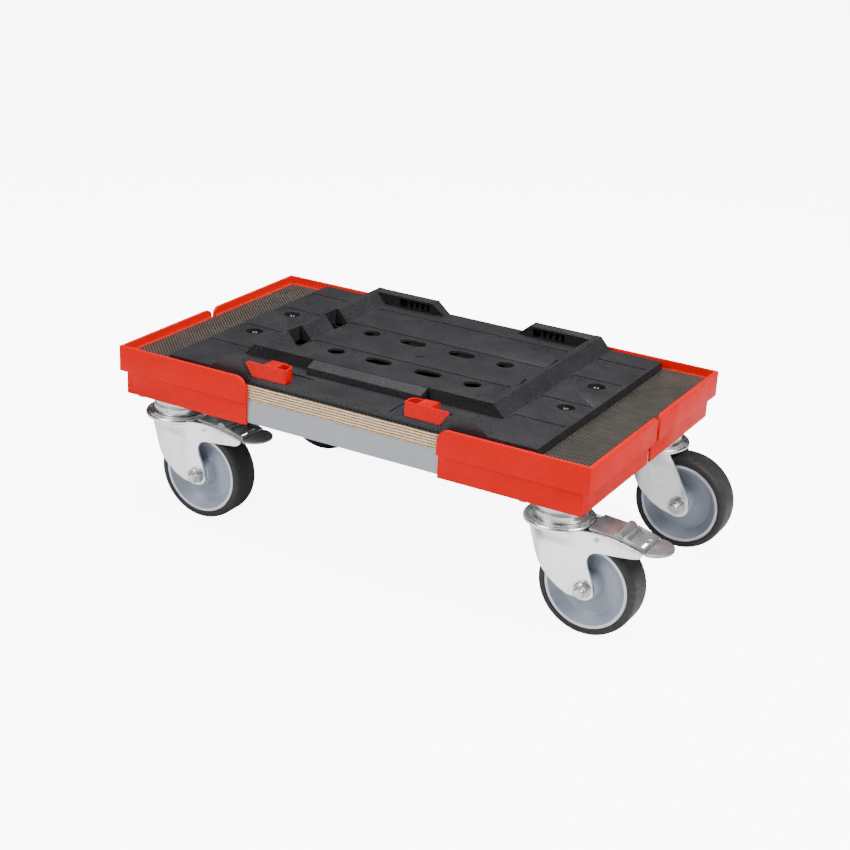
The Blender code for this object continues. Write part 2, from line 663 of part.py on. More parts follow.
def latch_channel_cut():
    """The shallow track in which a latch slides."""
    low = LATCH_INNER - LATCH_TRAVEL - 1.5 * MM
    back = PLATE_FRONT_Y + LATCH_HUB_DEPTH + 4 * MM
    return both_sides(box_mesh("track", ((low, HUMP_FOOT[0] + 1 * MM), (PLATE_FRONT_Y - 1 * MM, back),
                                         (PLATE_TOP_Z - CHANNEL_DROP, PLATE_TOP_Z + 1 * MM))))


def make_adapter_plate():
    slab = box_mesh("slab", ((-PLATE_LENGTH / 2, PLATE_LENGTH / 2), (PLATE_FRONT_Y, PLATE_BACK_Y),
                             (PLATE_BASE_Z, PLATE_TOP_Z)))
    recesses, through = screw_hole_cuts()
    dimple = rod_mesh("dimple", (0, 0, 5 * MM, PLATE_TOP_Z - 0.8 * MM, PLATE_TOP_Z + 1 * MM))
    steps = [("DIFFERENCE", plate_cells()),
             ("UNION", both_sides(ridge_mesh())),
             ("UNION", front_ridge_mesh()),
             ("UNION", ledge_mesh()),
             ("UNION", both_sides(hook_mesh())),
             ("DIFFERENCE", latch_channel_cut()),
             ("UNION", both_sides(hump_mesh()))]
    steps += [("DIFFERENCE", cut) for cut in hook_window_cuts()]
    steps += [("DIFFERENCE", cut) for cut in (niche_cuts(), ramp_cuts(), floor_hole_cuts(),
                                              recesses, through, dimple)]
    part("case_adapter_plate", combined("case_adapter_plate", slab, steps), BLACK_PLASTIC, DECK)


def make_adapter_screws():
    seat = PLATE_TOP_Z - SCREW_RECESS_DEPTH + GAP
    head = seat + SCREW_HEAD_HEIGHT
    profile = [(0, head), (SCREW_HEAD_RADIUS * 0.6, head), (SCREW_HEAD_RADIUS, head - 1 * MM),
               (SCREW_HEAD_RADIUS, seat), (SCREW_SHANK_RADIUS, seat),
               (SCREW_SHANK_RADIUS, head - SCREW_LENGTH + 3 * MM), (0, head - SCREW_LENGTH)]
    screw = turned_mesh("adapter_screw", profile, 12, ring=False)
    names = ("front_left", "rear_left", "front_right", "rear_right")
    for name, (x, y) in zip(names, screw_places()):
        part(f"adapter_screw_{name}", screw, ZINC, DECK, (x, y, 0))


# ---------------------------------------------------------------- latches
def latch_mesh():
    """The right-hand latch: front plate, hub and the loop that springs its inner end."""
    low = PLATE_TOP_Z - CHANNEL_DROP + GAP
    high = low + LATCH_HEIGHT
    front = PLATE_FRONT_Y + GAP
    point = 2.2 * MM
    slant = 8.5 * MM
    face = [(LATCH_INNER + 1 * MM, low), (LATCH_OUTER - slant, low), (LATCH_OUTER, high - point),
            (LATCH_OUTER - point, high), (LATCH_INNER + 1 * MM, high)]
    plate = outline_mesh("latch_plate", face, front, front + LATCH_PLATE, "XZ")
    hub_back = front + LATCH_HUB_DEPTH
    corner = 6 * MM
    hub_outline = [(LATCH_HUB[0], front + 1 * MM), (LATCH_HUB[1], front + 1 * MM)]
    hub_outline += arc(LATCH_HUB[1] - corner, hub_back - corner, corner, 0, 90, 5)
    hub_outline += arc(LATCH_HUB[0] + 2 * MM, hub_back - 2 * MM, 2 * MM, 90, 180, 2)
    hub = outline_mesh("latch_hub", hub_outline, low + GAP, high - GAP)
    loop_end = LATCH_HUB[0] + 2 * MM
    loop_back = front + LATCH_LOOP_DEPTH
    outer = 7 * MM
    loop_outline = [(loop_end, front)]
    loop_outline += [(LATCH_INNER + 1.5 * MM, front), (LATCH_INNER, front + 1.5 * MM)]
    loop_outline += arc(LATCH_INNER + outer, loop_back - outer, outer, 180, 90, 6)
    loop_outline += [(loop_end, loop_back)]
    hollow = [(loop_end + 2 * MM, front + LATCH_PLATE)]
    hollow += [(LATCH_INNER + LATCH_WALL, front + LATCH_PLATE)]
    hollow += arc(LATCH_INNER + outer, loop_back - outer, outer - LATCH_WALL, 180, 90, 6)
    hollow += [(loop_end + 2 * MM, loop_back - LATCH_WALL)]
    loop = combined("latch_loop",
                    outline_mesh("loop", loop_outline, low + GAP / 2, high - GAP / 2),
                    [("DIFFERENCE", outline_mesh("hollow", hollow, low - 1 * MM, high + 1 * MM))])
    # A wide lead-in bevel lets a case foot push the latch back.
    ramp = outline_mesh("latch_ramp", [(hub_back - 9 * MM, high + 1 * MM),
                                       (hub_back + 1 * MM, high - 4 * MM),
                                       (hub_back + 1 * MM, high + 1 * MM)],
                        LATCH_HUB[0] - 1 * MM, LATCH_HUB[1] + 1 * MM, "YZ")
    return combined("latch", plate, [("UNION", loop), ("UNION", hub), ("DIFFERENCE", ramp)])


def make_latches():
    right = latch_mesh()
    part("latch_right", right, LATCH_PLASTIC, DECK)
    part("latch_left", mirrored(right, "X"), LATCH_PLASTIC, DECK)


# ---------------------------------------------------------------- casters
def drawn_point(x, z):
    """A point of the fork's drawing, in millimetres, moved to suit the real wheel and trail."""
    rise = (z * MM - DRAWN_WHEEL_RADIUS) / (DRAWN_CROWN_Z - DRAWN_WHEEL_RADIUS)
    shift = (TRAIL - DRAWN_TRAIL) * (1 - rise)
    return x * MM + shift, WHEEL_RADIUS + rise * (CROWN_BASE_Z - WHEEL_RADIUS)


def fork_outline(brake):
    """One leg's side view, (x, z) from the swivel axis at floor level."""
    left = [(-25, 106), (-24.5, 98), (-20.5, 85), (-13, 69), (-3, 57), (10, 46.5), (22, 40.8)]
    points = [drawn_point(x, z) for x, z in left]
    end_radius = 11 * MM if brake else 13 * MM
    points += arc(TRAIL, WHEEL_RADIUS, end_radius, 245, 345, 6)
    if brake:
        right = [(47, 56), (43.5, 66), (40, 75), (39.5, 82), (43, 87.5), (50, 90.2), (68, 92),
                 (86, 94.5), (91, 97), (92.5, 100.2), (90, 102.5), (75, 106), (58, 109),
                 (45, 110), (34, 109.8), (30, 107)]
    else:
        right = [(49, 60), (38, 80), (27, 100), (24, 106)]
    return points + [drawn_point(x, z) for x, z in right]


def fork_leg(brake):
    """A leg of pressed sheet: it flares out to the crown and wraps round at its closed side."""
    leg = outline_mesh("leg", fork_outline(brake), FORK_INSIDE, FORK_INSIDE + FORK_SHEET, "XZ")
    bm = bmesh.new()
    bm.from_mesh(leg)
    bend_start = CROWN_BASE_Z - FORK_BEND
    for share in (0, 1 / 3, 2 / 3, 1):
        geometry = bm.verts[:] + bm.edges[:] + bm.faces[:]
        bmesh.ops.bisect_plane(bm, geom=geometry, dist=1e-7,
                               plane_co=(0, 0, bend_start + share * FORK_BEND),
                               plane_no=(0, 0, 1))
    wrap_start = TRAIL - WHEEL_RADIUS + FORK_WRAP_LEAD
    flare_cuts = [FORK_FLARE_START - share * FORK_FLARE_SPAN for share in (0, 0.5, 1)]
    wrap_cuts = [wrap_start - share * FORK_WRAP_SPAN for share in (0.25, 0.65)]
    for x in flare_cuts + wrap_cuts:
        geometry = bm.verts[:] + bm.edges[:] + bm.faces[:]
        bmesh.ops.bisect_plane(bm, geom=geometry, dist=1e-7, plane_co=(x, 0, 0), plane_no=(1, 0, 0))
    for vert in bm.verts:
        up = smooth_step((vert.co.z - bend_start) / FORK_BEND)
        across = smooth_step((FORK_FLARE_START - vert.co.x) / FORK_FLARE_SPAN)
        wrap = smooth_step((wrap_start - vert.co.x) / FORK_WRAP_SPAN)
        vert.co.y += FORK_FLARE * up * across * (1 - wrap) - FORK_WRAP * wrap
    # The flat parts go back to single faces.
    bmesh.ops.triangulate(bm, faces=bm.faces)
    bmesh.ops.dissolve_limit(bm, angle_limit=math.radians(2), verts=bm.verts, edges=bm.edges)
    bmesh.ops.triangulate(bm, faces=bm.faces)
    bm.to_mesh(leg)
    bm.free()
    weld(leg)
    return leg


def fork_mesh(brake):
    lip = 2 * MM
    hole = KINGPIN_RADIUS + 2 * GAP
    crown = turned_mesh("crown", [(hole, CROWN_TOP_Z), (CROWN_RADIUS - 1.25 * lip, CROWN_TOP_Z),
                                  (CROWN_RADIUS, CROWN_TOP_Z - lip), (CROWN_RADIUS, CROWN_BASE_Z + lip),
                                  (CROWN_RADIUS - lip, CROWN_BASE_Z), (hole, CROWN_BASE_Z)], 24)
    leg = fork_leg(brake)
    axle_hole = rod_mesh("axle_hole", (0, 0, AXLE_RADIUS + GAP, -60 * MM, 60 * MM))
    axle_hole.transform(Matrix.Translation((TRAIL, 0, WHEEL_RADIUS))
                        @ Matrix.Rotation(math.pi / 2, 4, "X"))
    steps = [("UNION", leg), ("UNION", mirrored(leg, "Y")), ("DIFFERENCE", axle_hole)]
    if brake:
        pin_hole = rod_mesh("pin_hole", (0, 0, PEDAL_PIN_RADIUS + GAP, -60 * MM, 60 * MM), segments=12)
        pin_hole.transform(Matrix.Translation((PEDAL_PIN_X, 0, PEDAL_PIN_Z))
                           @ Matrix.Rotation(math.pi / 2, 4, "X"))
        steps.append(("DIFFERENCE", pin_hole))
    return combined("fork", crown, steps)


def mount_plate_mesh():
    half_x = MOUNT_PLATE_LENGTH / 2
    half_y = MOUNT_PLATE_WIDTH / 2
    corner = 8 * MM
    outline = arc(half_x - corner, half_y - corner, corner, 0, 90, 3)
    outline += arc(-half_x + corner, half_y - corner, corner, 90, 180, 3)
    outline += arc(-half_x + corner, -half_y + corner, corner, 180, 270, 3)
    outline += arc(half_x - corner, -half_y + corner, corner, 270, 360, 3)
    plate = outline_mesh("mount_plate", outline, MOUNT_PLATE_BASE_Z, MOUNT_PLATE_TOP_Z)
    hole = rod_mesh("kingpin_hole", (0, 0, KINGPIN_RADIUS + GAP, MOUNT_PLATE_BASE_Z - 1 * MM,
                                     MOUNT_PLATE_TOP_Z + 1 * MM))
    return combined("mount_plate", plate, [("DIFFERENCE", hole)])


def race_mesh():
    low = RACE_BASE_Z
    high = RACE_BASE_Z + RACE_HEIGHT
    flange = 4 * MM
    return turned_mesh("race", [(RACE_BORE, high), (RACE_RADIUS + 3 * MM, high),
                                (RACE_RADIUS, high - flange), (RACE_RADIUS, low), (RACE_BORE, low)], 20)


def kingpin_mesh():
    head_top = CROWN_BASE_Z - GAP
    end = MOUNT_PLATE_TOP_Z + 1 * MM
    return turned_mesh("kingpin", [(0, end), (KINGPIN_RADIUS, end),
                                   (KINGPIN_RADIUS, head_top), (KINGPIN_HEAD_RADIUS, head_top),
                                   (KINGPIN_HEAD_RADIUS - 1 * MM, head_top - KINGPIN_HEAD),
                                   (0, head_top - KINGPIN_HEAD)], 12, ring=False)


def wheel_radius(radius):
    """A corner radius whose flat sides lie at this radius, so that a wheel stands on a flat."""
    return radius / math.cos(math.pi / WHEEL_SEGMENTS)


def rim_mesh():
    half = TREAD_WIDTH / 2 - 0.9 * MM
    hub = FORK_INSIDE - 0.7 * MM
    side = [(HUB_BORE, hub), (HUB_RADIUS, hub), (HUB_RADIUS + 2 * MM, 6 * MM),
            (RIM_RADIUS - 10 * MM, 5 * MM), (RIM_RADIUS - 4.5 * MM, half), (RIM_RADIUS, half)]
    profile = [(wheel_radius(r), h) for r, h in side]
    profile += [(wheel_radius(r), -h) for r, h in reversed(side)]
    return turned_mesh("wheel_rim", profile, WHEEL_SEGMENTS)


def tyre_mesh():
    half = TREAD_WIDTH / 2
    bore = RIM_RADIUS + GAP
    side = [(bore, half - 0.6 * MM), (bore + 1.5 * MM, half), (WHEEL_RADIUS - 3.5 * MM, half),
            (WHEEL_RADIUS - 1 * MM, half - 1.6 * MM), (WHEEL_RADIUS, half - 5 * MM)]
    profile = [(wheel_radius(r), h) for r, h in side]
    profile += [(wheel_radius(r), -h) for r, h in reversed(side)]
    return turned_mesh("tyre", profile, WHEEL_SEGMENTS)


def sleeve_mesh():
    half = FORK_INSIDE - GAP
    outer = HUB_BORE - GAP
    return turned_mesh("axle_sleeve", [(SLEEVE_BORE, half), (outer, half), (outer, -half),
                                       (SLEEVE_BORE, -half)], 12)


def axle_mesh():
    """Axle bolt along Z, head at the top, thread through the nut at the bottom."""
    face = FORK_INSIDE + FORK_SHEET + GAP
    head = bpy.data.meshes.new("axle_head")
    bm = bmesh.new()
    radius = NUT_ACROSS_FLATS / 2 / math.cos(math.pi / 6)
    bmesh.ops.create_cone(bm, cap_ends=True, segments=6, radius1=radius, radius2=radius,
                          depth=AXLE_HEAD_HEIGHT,
                          matrix=Matrix.Translation((0, 0, face + AXLE_HEAD_HEIGHT / 2)))
    bm.to_mesh(head)
    bm.free()
    end = face + GAP + NUT_HEIGHT + AXLE_END
    shank = turned_mesh("axle_shank", [(0, face + 1 * MM), (AXLE_RADIUS, face + 1 * MM),
                                       (AXLE_RADIUS, -end + 1 * MM), (AXLE_RADIUS - 1 * MM, -end),
                                       (0, -end)], 12, ring=False)
    return combined("axle_bolt", head, [("UNION", shank)])


def nut_mesh():
    face = FORK_INSIDE + FORK_SHEET + 2 * GAP
    radius = NUT_ACROSS_FLATS / 2 / math.cos(math.pi / 6)
    nut = rod_mesh("nut", (0, 0, radius, -face - NUT_HEIGHT, -face), segments=6)
    bore = rod_mesh("nut_bore", (0, 0, AXLE_RADIUS + GAP, -face - NUT_HEIGHT - 1 * MM,
                                 -face + 1 * MM), segments=12)
    return combined("axle_nut", nut, [("DIFFERENCE", bore)])


# ---------------------------------------------------------------- brake pedal
def pedal_top(x):
    """Height of the pedal's upper face along its length."""
    start, bend, end = PEDAL_START, PEDAL_LUG_X, PEDAL_FRAME[1]
    if x < bend:
        return PEDAL_RISE + (112 - 2 * (x - start) / (bend - start)) * MM
    return PEDAL_RISE + (110 - 8 * (x - bend) / (end - bend)) * MM


def pedal_strip(x0, x1, below, above=0.0):
    """Side view of a length of the pedal's sheet, from below to above its upper face."""
    stops = [x0] + [x for x in (PEDAL_LUG_X,) if x0 < x < x1] + [x1]
    upper = [(x, pedal_top(x) + above) for x in stops]
    lower = [(x, pedal_top(x) - below) for x in reversed(stops)]
    return upper + lower


def pedal_mesh():
    """Foot pedal: a cheeked plate between the fork's wings, a framed pocket and a toe flap."""
    half = FORK_INSIDE - PEDAL_SIDE_GAP
    frame_start, frame_end = PEDAL_FRAME
    plate = outline_mesh("pedal_plate", pedal_strip(PEDAL_START, frame_end, PEDAL_SHEET),
                         -half, half, "XZ")
    border = 3 * MM
    raised = 2.2 * MM
    frame = combined("pedal_frame",
                     outline_mesh("frame", pedal_strip(frame_start, frame_end - GAP, 1 * MM, raised),
                                  -half + GAP, half - GAP, "XZ"),
                     [("DIFFERENCE", outline_mesh("frame_hollow",
                                                  pedal_strip(frame_start + border, frame_end - border,
                                                              3 * MM, raised + 3 * MM),
                                                  -half + border, half - border, "XZ"))])
    pocket = outline_mesh("pocket", pedal_strip(frame_start + border + 1 * MM,
                                                frame_end - border - 1 * MM, PEDAL_SHEET + 1 * MM,
                                                raised + 1 * MM),
                          -half + border + 1 * MM, half - border - 1 * MM, "XZ")
    lug = outline_mesh("lug", arc(PEDAL_LUG_X, pedal_top(PEDAL_LUG_X) - 1 * MM, 5 * MM, -8, 188, 8),
                       -half + 1 * MM, half - 1 * MM, "XZ")
    cheek_outline = [(PEDAL_PIN_X - 6 * MM, pedal_top(PEDAL_PIN_X) - 1 * MM)]
    cheek_outline += arc(PEDAL_PIN_X, PEDAL_PIN_Z, 4 * MM, 180, 330, 5)
    cheek_outline += [(PEDAL_PIN_X + 12 * MM, pedal_top(PEDAL_PIN_X) - 2 * MM)]
    cheek_sheet = 2 * MM
    cheek = outline_mesh("cheek", cheek_outline, half - cheek_sheet, half - GAP, "XZ")
    shoe = outline_mesh("brake_shoe",
                        [(x * MM, PEDAL_RISE + z * MM)
                         for x, z in ((57, 99.2), (63, 99.2), (67, 108), (55, 110))],
                        -SHOE_HALF_WIDTH, SHOE_HALF_WIDTH, "XZ")
    top = pedal_top(frame_end)
    flap_outline = [(frame_end - 2 * MM, -half + 2 * MM), (frame_end, -PEDAL_FLAP_RADIUS + 1 * MM)]
    flap_outline += arc(frame_end, 0, PEDAL_FLAP_RADIUS, -80, 80, 12)
    flap_outline += [(frame_end, PEDAL_FLAP_RADIUS - 1 * MM), (frame_end - 2 * MM, half - 2 * MM)]
    flap = outline_mesh("flap", flap_outline, top - PEDAL_SHEET + GAP, top - GAP)
    pin_hole = rod_mesh("pedal_pin_hole", (0, 0, PEDAL_PIN_RADIUS + GAP, -40 * MM, 40 * MM), segments=12)
    pin_hole.transform(Matrix.Translation((PEDAL_PIN_X, 0, PEDAL_PIN_Z))
                       @ Matrix.Rotation(math.pi / 2, 4, "X"))
    steps = [("UNION", frame), ("UNION", lug), ("UNION", both_sides(cheek, "Y")), ("UNION", shoe),
             ("UNION", flap), ("DIFFERENCE", pocket), ("DIFFERENCE", pin_hole)]
    mesh = combined("pedal", plate, steps)
    # The pedal's origin is its pin.
    mesh.transform(Matrix.Translation((-PEDAL_PIN_X, 0, -PEDAL_PIN_Z)))
    return mesh


def pedal_pin_mesh():
    half = FORK_INSIDE + FORK_SHEET + 1 * MM
    return turned_mesh("pedal_pin", [(0, half), (PEDAL_PIN_RADIUS, half), (PEDAL_PIN_RADIUS, -half),
                                     (0, -half)], 12, ring=False)


def make_casters():
    forks = {brake: fork_mesh(brake) for brake in (False, True)}
    plate, race, kingpin = mount_plate_mesh(), race_mesh(), kingpin_mesh()
    rim, tyre, sleeve = rim_mesh(), tyre_mesh(), sleeve_mesh()
    axle, nut = axle_mesh(), nut_mesh()
    pedal, pedal_pin = pedal_mesh(), pedal_pin_mesh()
    lying = math.pi / 2         # turns a piece made along Z to lie along Y
    for name, (side_x, side_y, brake) in CASTERS.items():
        place = (side_x * CASTER_X, side_y * CASTER_Y, 0)
        part(f"mount_plate_{name}", plate, ZINC, DECK, place)
        part(f"ball_race_{name}", race, ZINC, DECK, place)
        part(f"kingpin_{name}", kingpin, ZINC, DECK, place)
        swivel = empty(f"swivel_axis_{name}", place, DECK)
        part(f"fork_{name}", forks[brake], ZINC, swivel)
        hub = empty(f"axle_line_{name}", (TRAIL, 0, WHEEL_RADIUS), swivel)
        part(f"axle_bolt_{name}", axle, ZINC, hub, rotation=(-lying, 0, 0))
        part(f"axle_nut_{name}", nut, ZINC, hub, rotation=(-lying, 0, 0))
        part(f"axle_sleeve_{name}", sleeve, ZINC, hub, rotation=(-lying, 0, 0))
        half_step = math.pi / WHEEL_SEGMENTS
        part(f"wheel_rim_{name}", rim, WHEEL_PLASTIC, hub, rotation=(-lying, half_step, 0))
        part(f"tyre_{name}", tyre, RUBBER, hub, rotation=(-lying, half_step, 0))
        if brake:
            pin = empty(f"pedal_axis_{name}", (PEDAL_PIN_X, 0, PEDAL_PIN_Z), swivel)
            part(f"brake_pedal_{name}", pedal, ZINC, pin)
            part(f"pedal_pin_{name}", pedal_pin, ZINC, pin, rotation=(lying, 0, 0))


make_panel()
make_rails()
make_corner_buffers()
make_adapter_plate()
make_adapter_screws()
make_latches()
make_casters()
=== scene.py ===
# %% [markdown]
# # Transport dolly with a tool-case adapter plate
#
# A plywood platform runs on four swivel casters. Red corner buffers guard it, and a black
# moulded plate on top holds a stackable tool case with two red latches. The measured model
# is loaded first, and every finished piece is built to its sizes.

# %% Load the measured model
import math

import bmesh
import bpy
from mathutils import Matrix, Vector


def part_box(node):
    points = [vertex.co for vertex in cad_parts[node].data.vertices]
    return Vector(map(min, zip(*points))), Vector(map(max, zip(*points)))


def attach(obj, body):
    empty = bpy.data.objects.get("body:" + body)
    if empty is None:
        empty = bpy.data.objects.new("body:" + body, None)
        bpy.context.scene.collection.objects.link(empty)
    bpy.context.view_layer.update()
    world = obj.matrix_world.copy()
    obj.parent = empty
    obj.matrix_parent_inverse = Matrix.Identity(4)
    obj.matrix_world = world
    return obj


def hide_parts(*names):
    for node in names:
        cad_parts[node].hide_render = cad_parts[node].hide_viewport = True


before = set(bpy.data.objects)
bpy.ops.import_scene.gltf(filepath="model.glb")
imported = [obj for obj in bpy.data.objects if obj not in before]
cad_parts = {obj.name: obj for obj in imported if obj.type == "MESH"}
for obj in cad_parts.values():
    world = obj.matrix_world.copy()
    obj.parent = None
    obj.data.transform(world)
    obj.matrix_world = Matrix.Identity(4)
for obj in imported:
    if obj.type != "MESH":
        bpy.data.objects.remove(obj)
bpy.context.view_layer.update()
MM = 0.001
CASTERS = ("front_left", "front_right", "rear_left", "rear_right")
BRAKED = ("front_left", "front_right")

# %% [markdown]
# ## Camera first
#
# The view is fixed before anything is drawn, so each piece can be judged in it. The camera
# stands in front of the long side, turned a little to the right, and looks down on the deck.
# It is placed from plain values: a target, a distance, two angles and a slight roll.

# %% Camera
CAMERA_AZIMUTH = math.radians(28.944)
CAMERA_HEIGHT = math.radians(21.98)
CAMERA_ROLL = math.radians(2.934)
CAMERA_DISTANCE = 1.5959
CAMERA_LENS = 72.6
TARGET_RIGHT = 0.09566
TARGET_FORWARD = 0.15571

deck_low, deck_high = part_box("deck_panel")
deck_middle = (deck_low + deck_high) / 2
rim_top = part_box("corner_buffer_front_left")[1].z
target = Vector((deck_middle.x + TARGET_RIGHT, deck_middle.y - TARGET_FORWARD, rim_top))

back = Vector((math.sin(CAMERA_AZIMUTH) * math.cos(CAMERA_HEIGHT),
               -math.cos(CAMERA_AZIMUTH) * math.cos(CAMERA_HEIGHT),
               math.sin(CAMERA_HEIGHT)))
level_right = Vector((0, 0, 1)).cross(back).normalized()
level_up = back.cross(level_right)
right = math.cos(CAMERA_ROLL) * level_right + math.sin(CAMERA_ROLL) * level_up
up = -math.sin(CAMERA_ROLL) * level_right + math.cos(CAMERA_ROLL) * level_up

camera_data = bpy.data.cameras.new("camera")
camera_data.sensor_width = 36
camera_data.lens = CAMERA_LENS
camera = bpy.data.objects.new("camera", camera_data)
camera.matrix_world = Matrix.Translation(target + back * CAMERA_DISTANCE) @ Matrix(
    (right, up, back)).transposed().to_4x4()
bpy.context.scene.collection.objects.link(camera)
bpy.context.scene.camera = camera
print("camera at", [round(value, 3) for value in camera.matrix_world.translation])

# %% [markdown]
# ## Shader groups
#
# Several finishes share the same effects: the leathery grain of a moulding, soft blotches
# of colour and gloss, and fine handling marks. Each effect is a node group, built once.
# Each material then places it with its own values.


# %% Node helpers
def add_group(title, inputs, outputs):
    """A shader node group with named sockets. Returns the group, its input and its output."""
    tree = bpy.data.node_groups.new(title, "ShaderNodeTree")
    for label, kind, value in inputs:
        socket = tree.interface.new_socket(name=label, in_out="INPUT", socket_type=kind)
        if value is not None:
            socket.default_value = value
    for label, kind in outputs:
        tree.interface.new_socket(name=label, in_out="OUTPUT", socket_type=kind)
    return tree, tree.nodes.new("NodeGroupInput"), tree.nodes.new("NodeGroupOutput")


def add_node(tree, kind, settings=(), **links):
    """A node with its settings, and its inputs linked or set by name."""
    node = tree.nodes.new(kind)
    for label, value in dict(settings).items():
        setattr(node, label, value)
    for label, value in links.items():
        socket = node.inputs[int(label[1:])] if label[0] == "i" and label[1:].isdigit() \
            else node.inputs[label.replace("_", " ")]
        if isinstance(value, bpy.types.NodeSocket):
            tree.links.new(value, socket)
        else:
            socket.default_value = value
    return node


def add_math(tree, operation, *values):
    links = {f"i{index}": value for index, value in enumerate(values)}
    return add_node(tree, "ShaderNodeMath", {"operation": operation}, **links).outputs[0]


def mix_colours(tree, share, first, second, blend="MIX"):
    node = tree.nodes.new("ShaderNodeMix")
    node.data_type = "RGBA"
    node.blend_type = blend
    for socket, value in ((node.inputs["Factor"], share), (node.inputs[6], first),
                          (node.inputs[7], second)):
        if isinstance(value, bpy.types.NodeSocket):
            tree.links.new(value, socket)
        else:
            socket.default_value = value
    return node.outputs[2]


print("helpers ready")

# %% [markdown]
# ### Moulded grain
#
# Injection-moulded covers are spark-eroded to a fine leathery grain. Voronoi cells give the
# pebbles, a finer noise roughens them, and both go out as one height with a matching shade.

# %% Group: moulded grain
grain_group, entry, leave = add_group(
    "moulded grain",
    [("Pebbles per metre", "NodeSocketFloat", 900.0), ("Depth", "NodeSocketFloat", 1.0)],
    [("Height", "NodeSocketFloat"), ("Shade", "NodeSocketFloat")])
place = add_node(grain_group, "ShaderNodeTexCoord").outputs["Object"]
pebbles = add_node(grain_group, "ShaderNodeTexVoronoi", {"feature": "SMOOTH_F1"},
                   Vector=place, Scale=entry.outputs["Pebbles per metre"])
finer_scale = add_math(grain_group, "MULTIPLY", entry.outputs["Pebbles per metre"], 2.3)
grit = add_node(grain_group, "ShaderNodeTexNoise", Vector=place, Scale=finer_scale, Detail=3.0)
height = add_math(grain_group, "ADD", add_math(grain_group, "MULTIPLY", pebbles.outputs["Distance"], 0.6),
                  add_math(grain_group, "MULTIPLY", grit.outputs["Fac"], 0.5))
height = add_math(grain_group, "MULTIPLY", height, entry.outputs["Depth"])
grain_group.links.new(height, leave.inputs["Height"])
grain_group.links.new(grit.outputs["Fac"], leave.inputs["Shade"])
print("made", grain_group.name)

# %% [markdown]
# ### Soft blotches
#
# No real surface is even: gloss and colour drift a little from place to place. A low noise
# with a finer one on top gives a value near a half that a material can spread as it likes.

# %% Group: soft blotches
blotch_group, entry, leave = add_group(
    "soft blotches",
    [("Size", "NodeSocketFloat", 0.05), ("Low", "NodeSocketFloat", 0.0),
     ("High", "NodeSocketFloat", 1.0)],
    [("Value", "NodeSocketFloat")])
place = add_node(blotch_group, "ShaderNodeTexCoord").outputs["Object"]
scale = add_math(blotch_group, "DIVIDE", 1.0, entry.outputs["Size"])
clouds = add_node(blotch_group, "ShaderNodeTexNoise", Vector=place, Scale=scale, Detail=5.0,
                  Roughness=0.6)
spread = add_node(blotch_group, "ShaderNodeMapRange", Value=clouds.outputs["Fac"],
                  From_Min=0.3, From_Max=0.7, To_Min=entry.outputs["Low"],
                  To_Max=entry.outputs["High"])
blotch_group.links.new(spread.outputs["Result"], leave.inputs["Value"])
print("made", blotch_group.name)

# %% [markdown]
# ### Handling marks
#
# Tools and shoes leave short scuffs. A noise stretched along one way and cut off high up
# leaves only a few thin streaks, which go out as a mask.

# %% Group: handling marks
marks_group, entry, leave = add_group(
    "handling marks",
    [("Amount", "NodeSocketFloat", 0.5), ("Stretch", "NodeSocketVector", (30.0, 400.0, 400.0))],
    [("Mask", "NodeSocketFloat")])
place = add_node(marks_group, "ShaderNodeTexCoord").outputs["Object"]
turned = add_node(marks_group, "ShaderNodeMapping", Vector=place, Rotation=(0.4, 0.3, 0.6))
stretched = add_node(marks_group, "ShaderNodeVectorMath", {"operation": "MULTIPLY"},
                     i0=turned.outputs["Vector"], i1=entry.outputs["Stretch"])
streaks = add_node(marks_group, "ShaderNodeTexNoise", Vector=stretched.outputs["Vector"],
                   Scale=1.0, Detail=4.0)
cut = add_node(marks_group, "ShaderNodeMapRange", Value=streaks.outputs["Fac"],
               From_Min=0.62, From_Max=0.72, To_Min=0.0, To_Max=entry.outputs["Amount"])
marks_group.links.new(cut.outputs["Result"], leave.inputs["Mask"])
print("made", marks_group.name)


# %% Material starter
def start_material(title, metallic=0.0, **shader_values):
    """A Principled material. Plain values go straight on the shader's own sockets."""
    material = bpy.data.materials.new(title)
    material.use_nodes = True
    tree = material.node_tree
    shader = tree.nodes["Principled BSDF"]
    shader.inputs["Metallic"].default_value = metallic
    for label, value in shader_values.items():
        shader.inputs[label.replace("_", " ")].default_value = value
    return material, tree, shader


def use_group(tree, group, **values):
    node = tree.nodes.new("ShaderNodeGroup")
    node.node_tree = group
    for label, value in values.items():
        node.inputs[label.replace("_", " ")].default_value = value
    return node


def add_bump(tree, shader, height, strength, distance):
    bump = add_node(tree, "ShaderNodeBump", Height=height, Strength=strength, Distance=distance)
    tree.links.new(bump.outputs["Normal"], shader.inputs["Normal"])
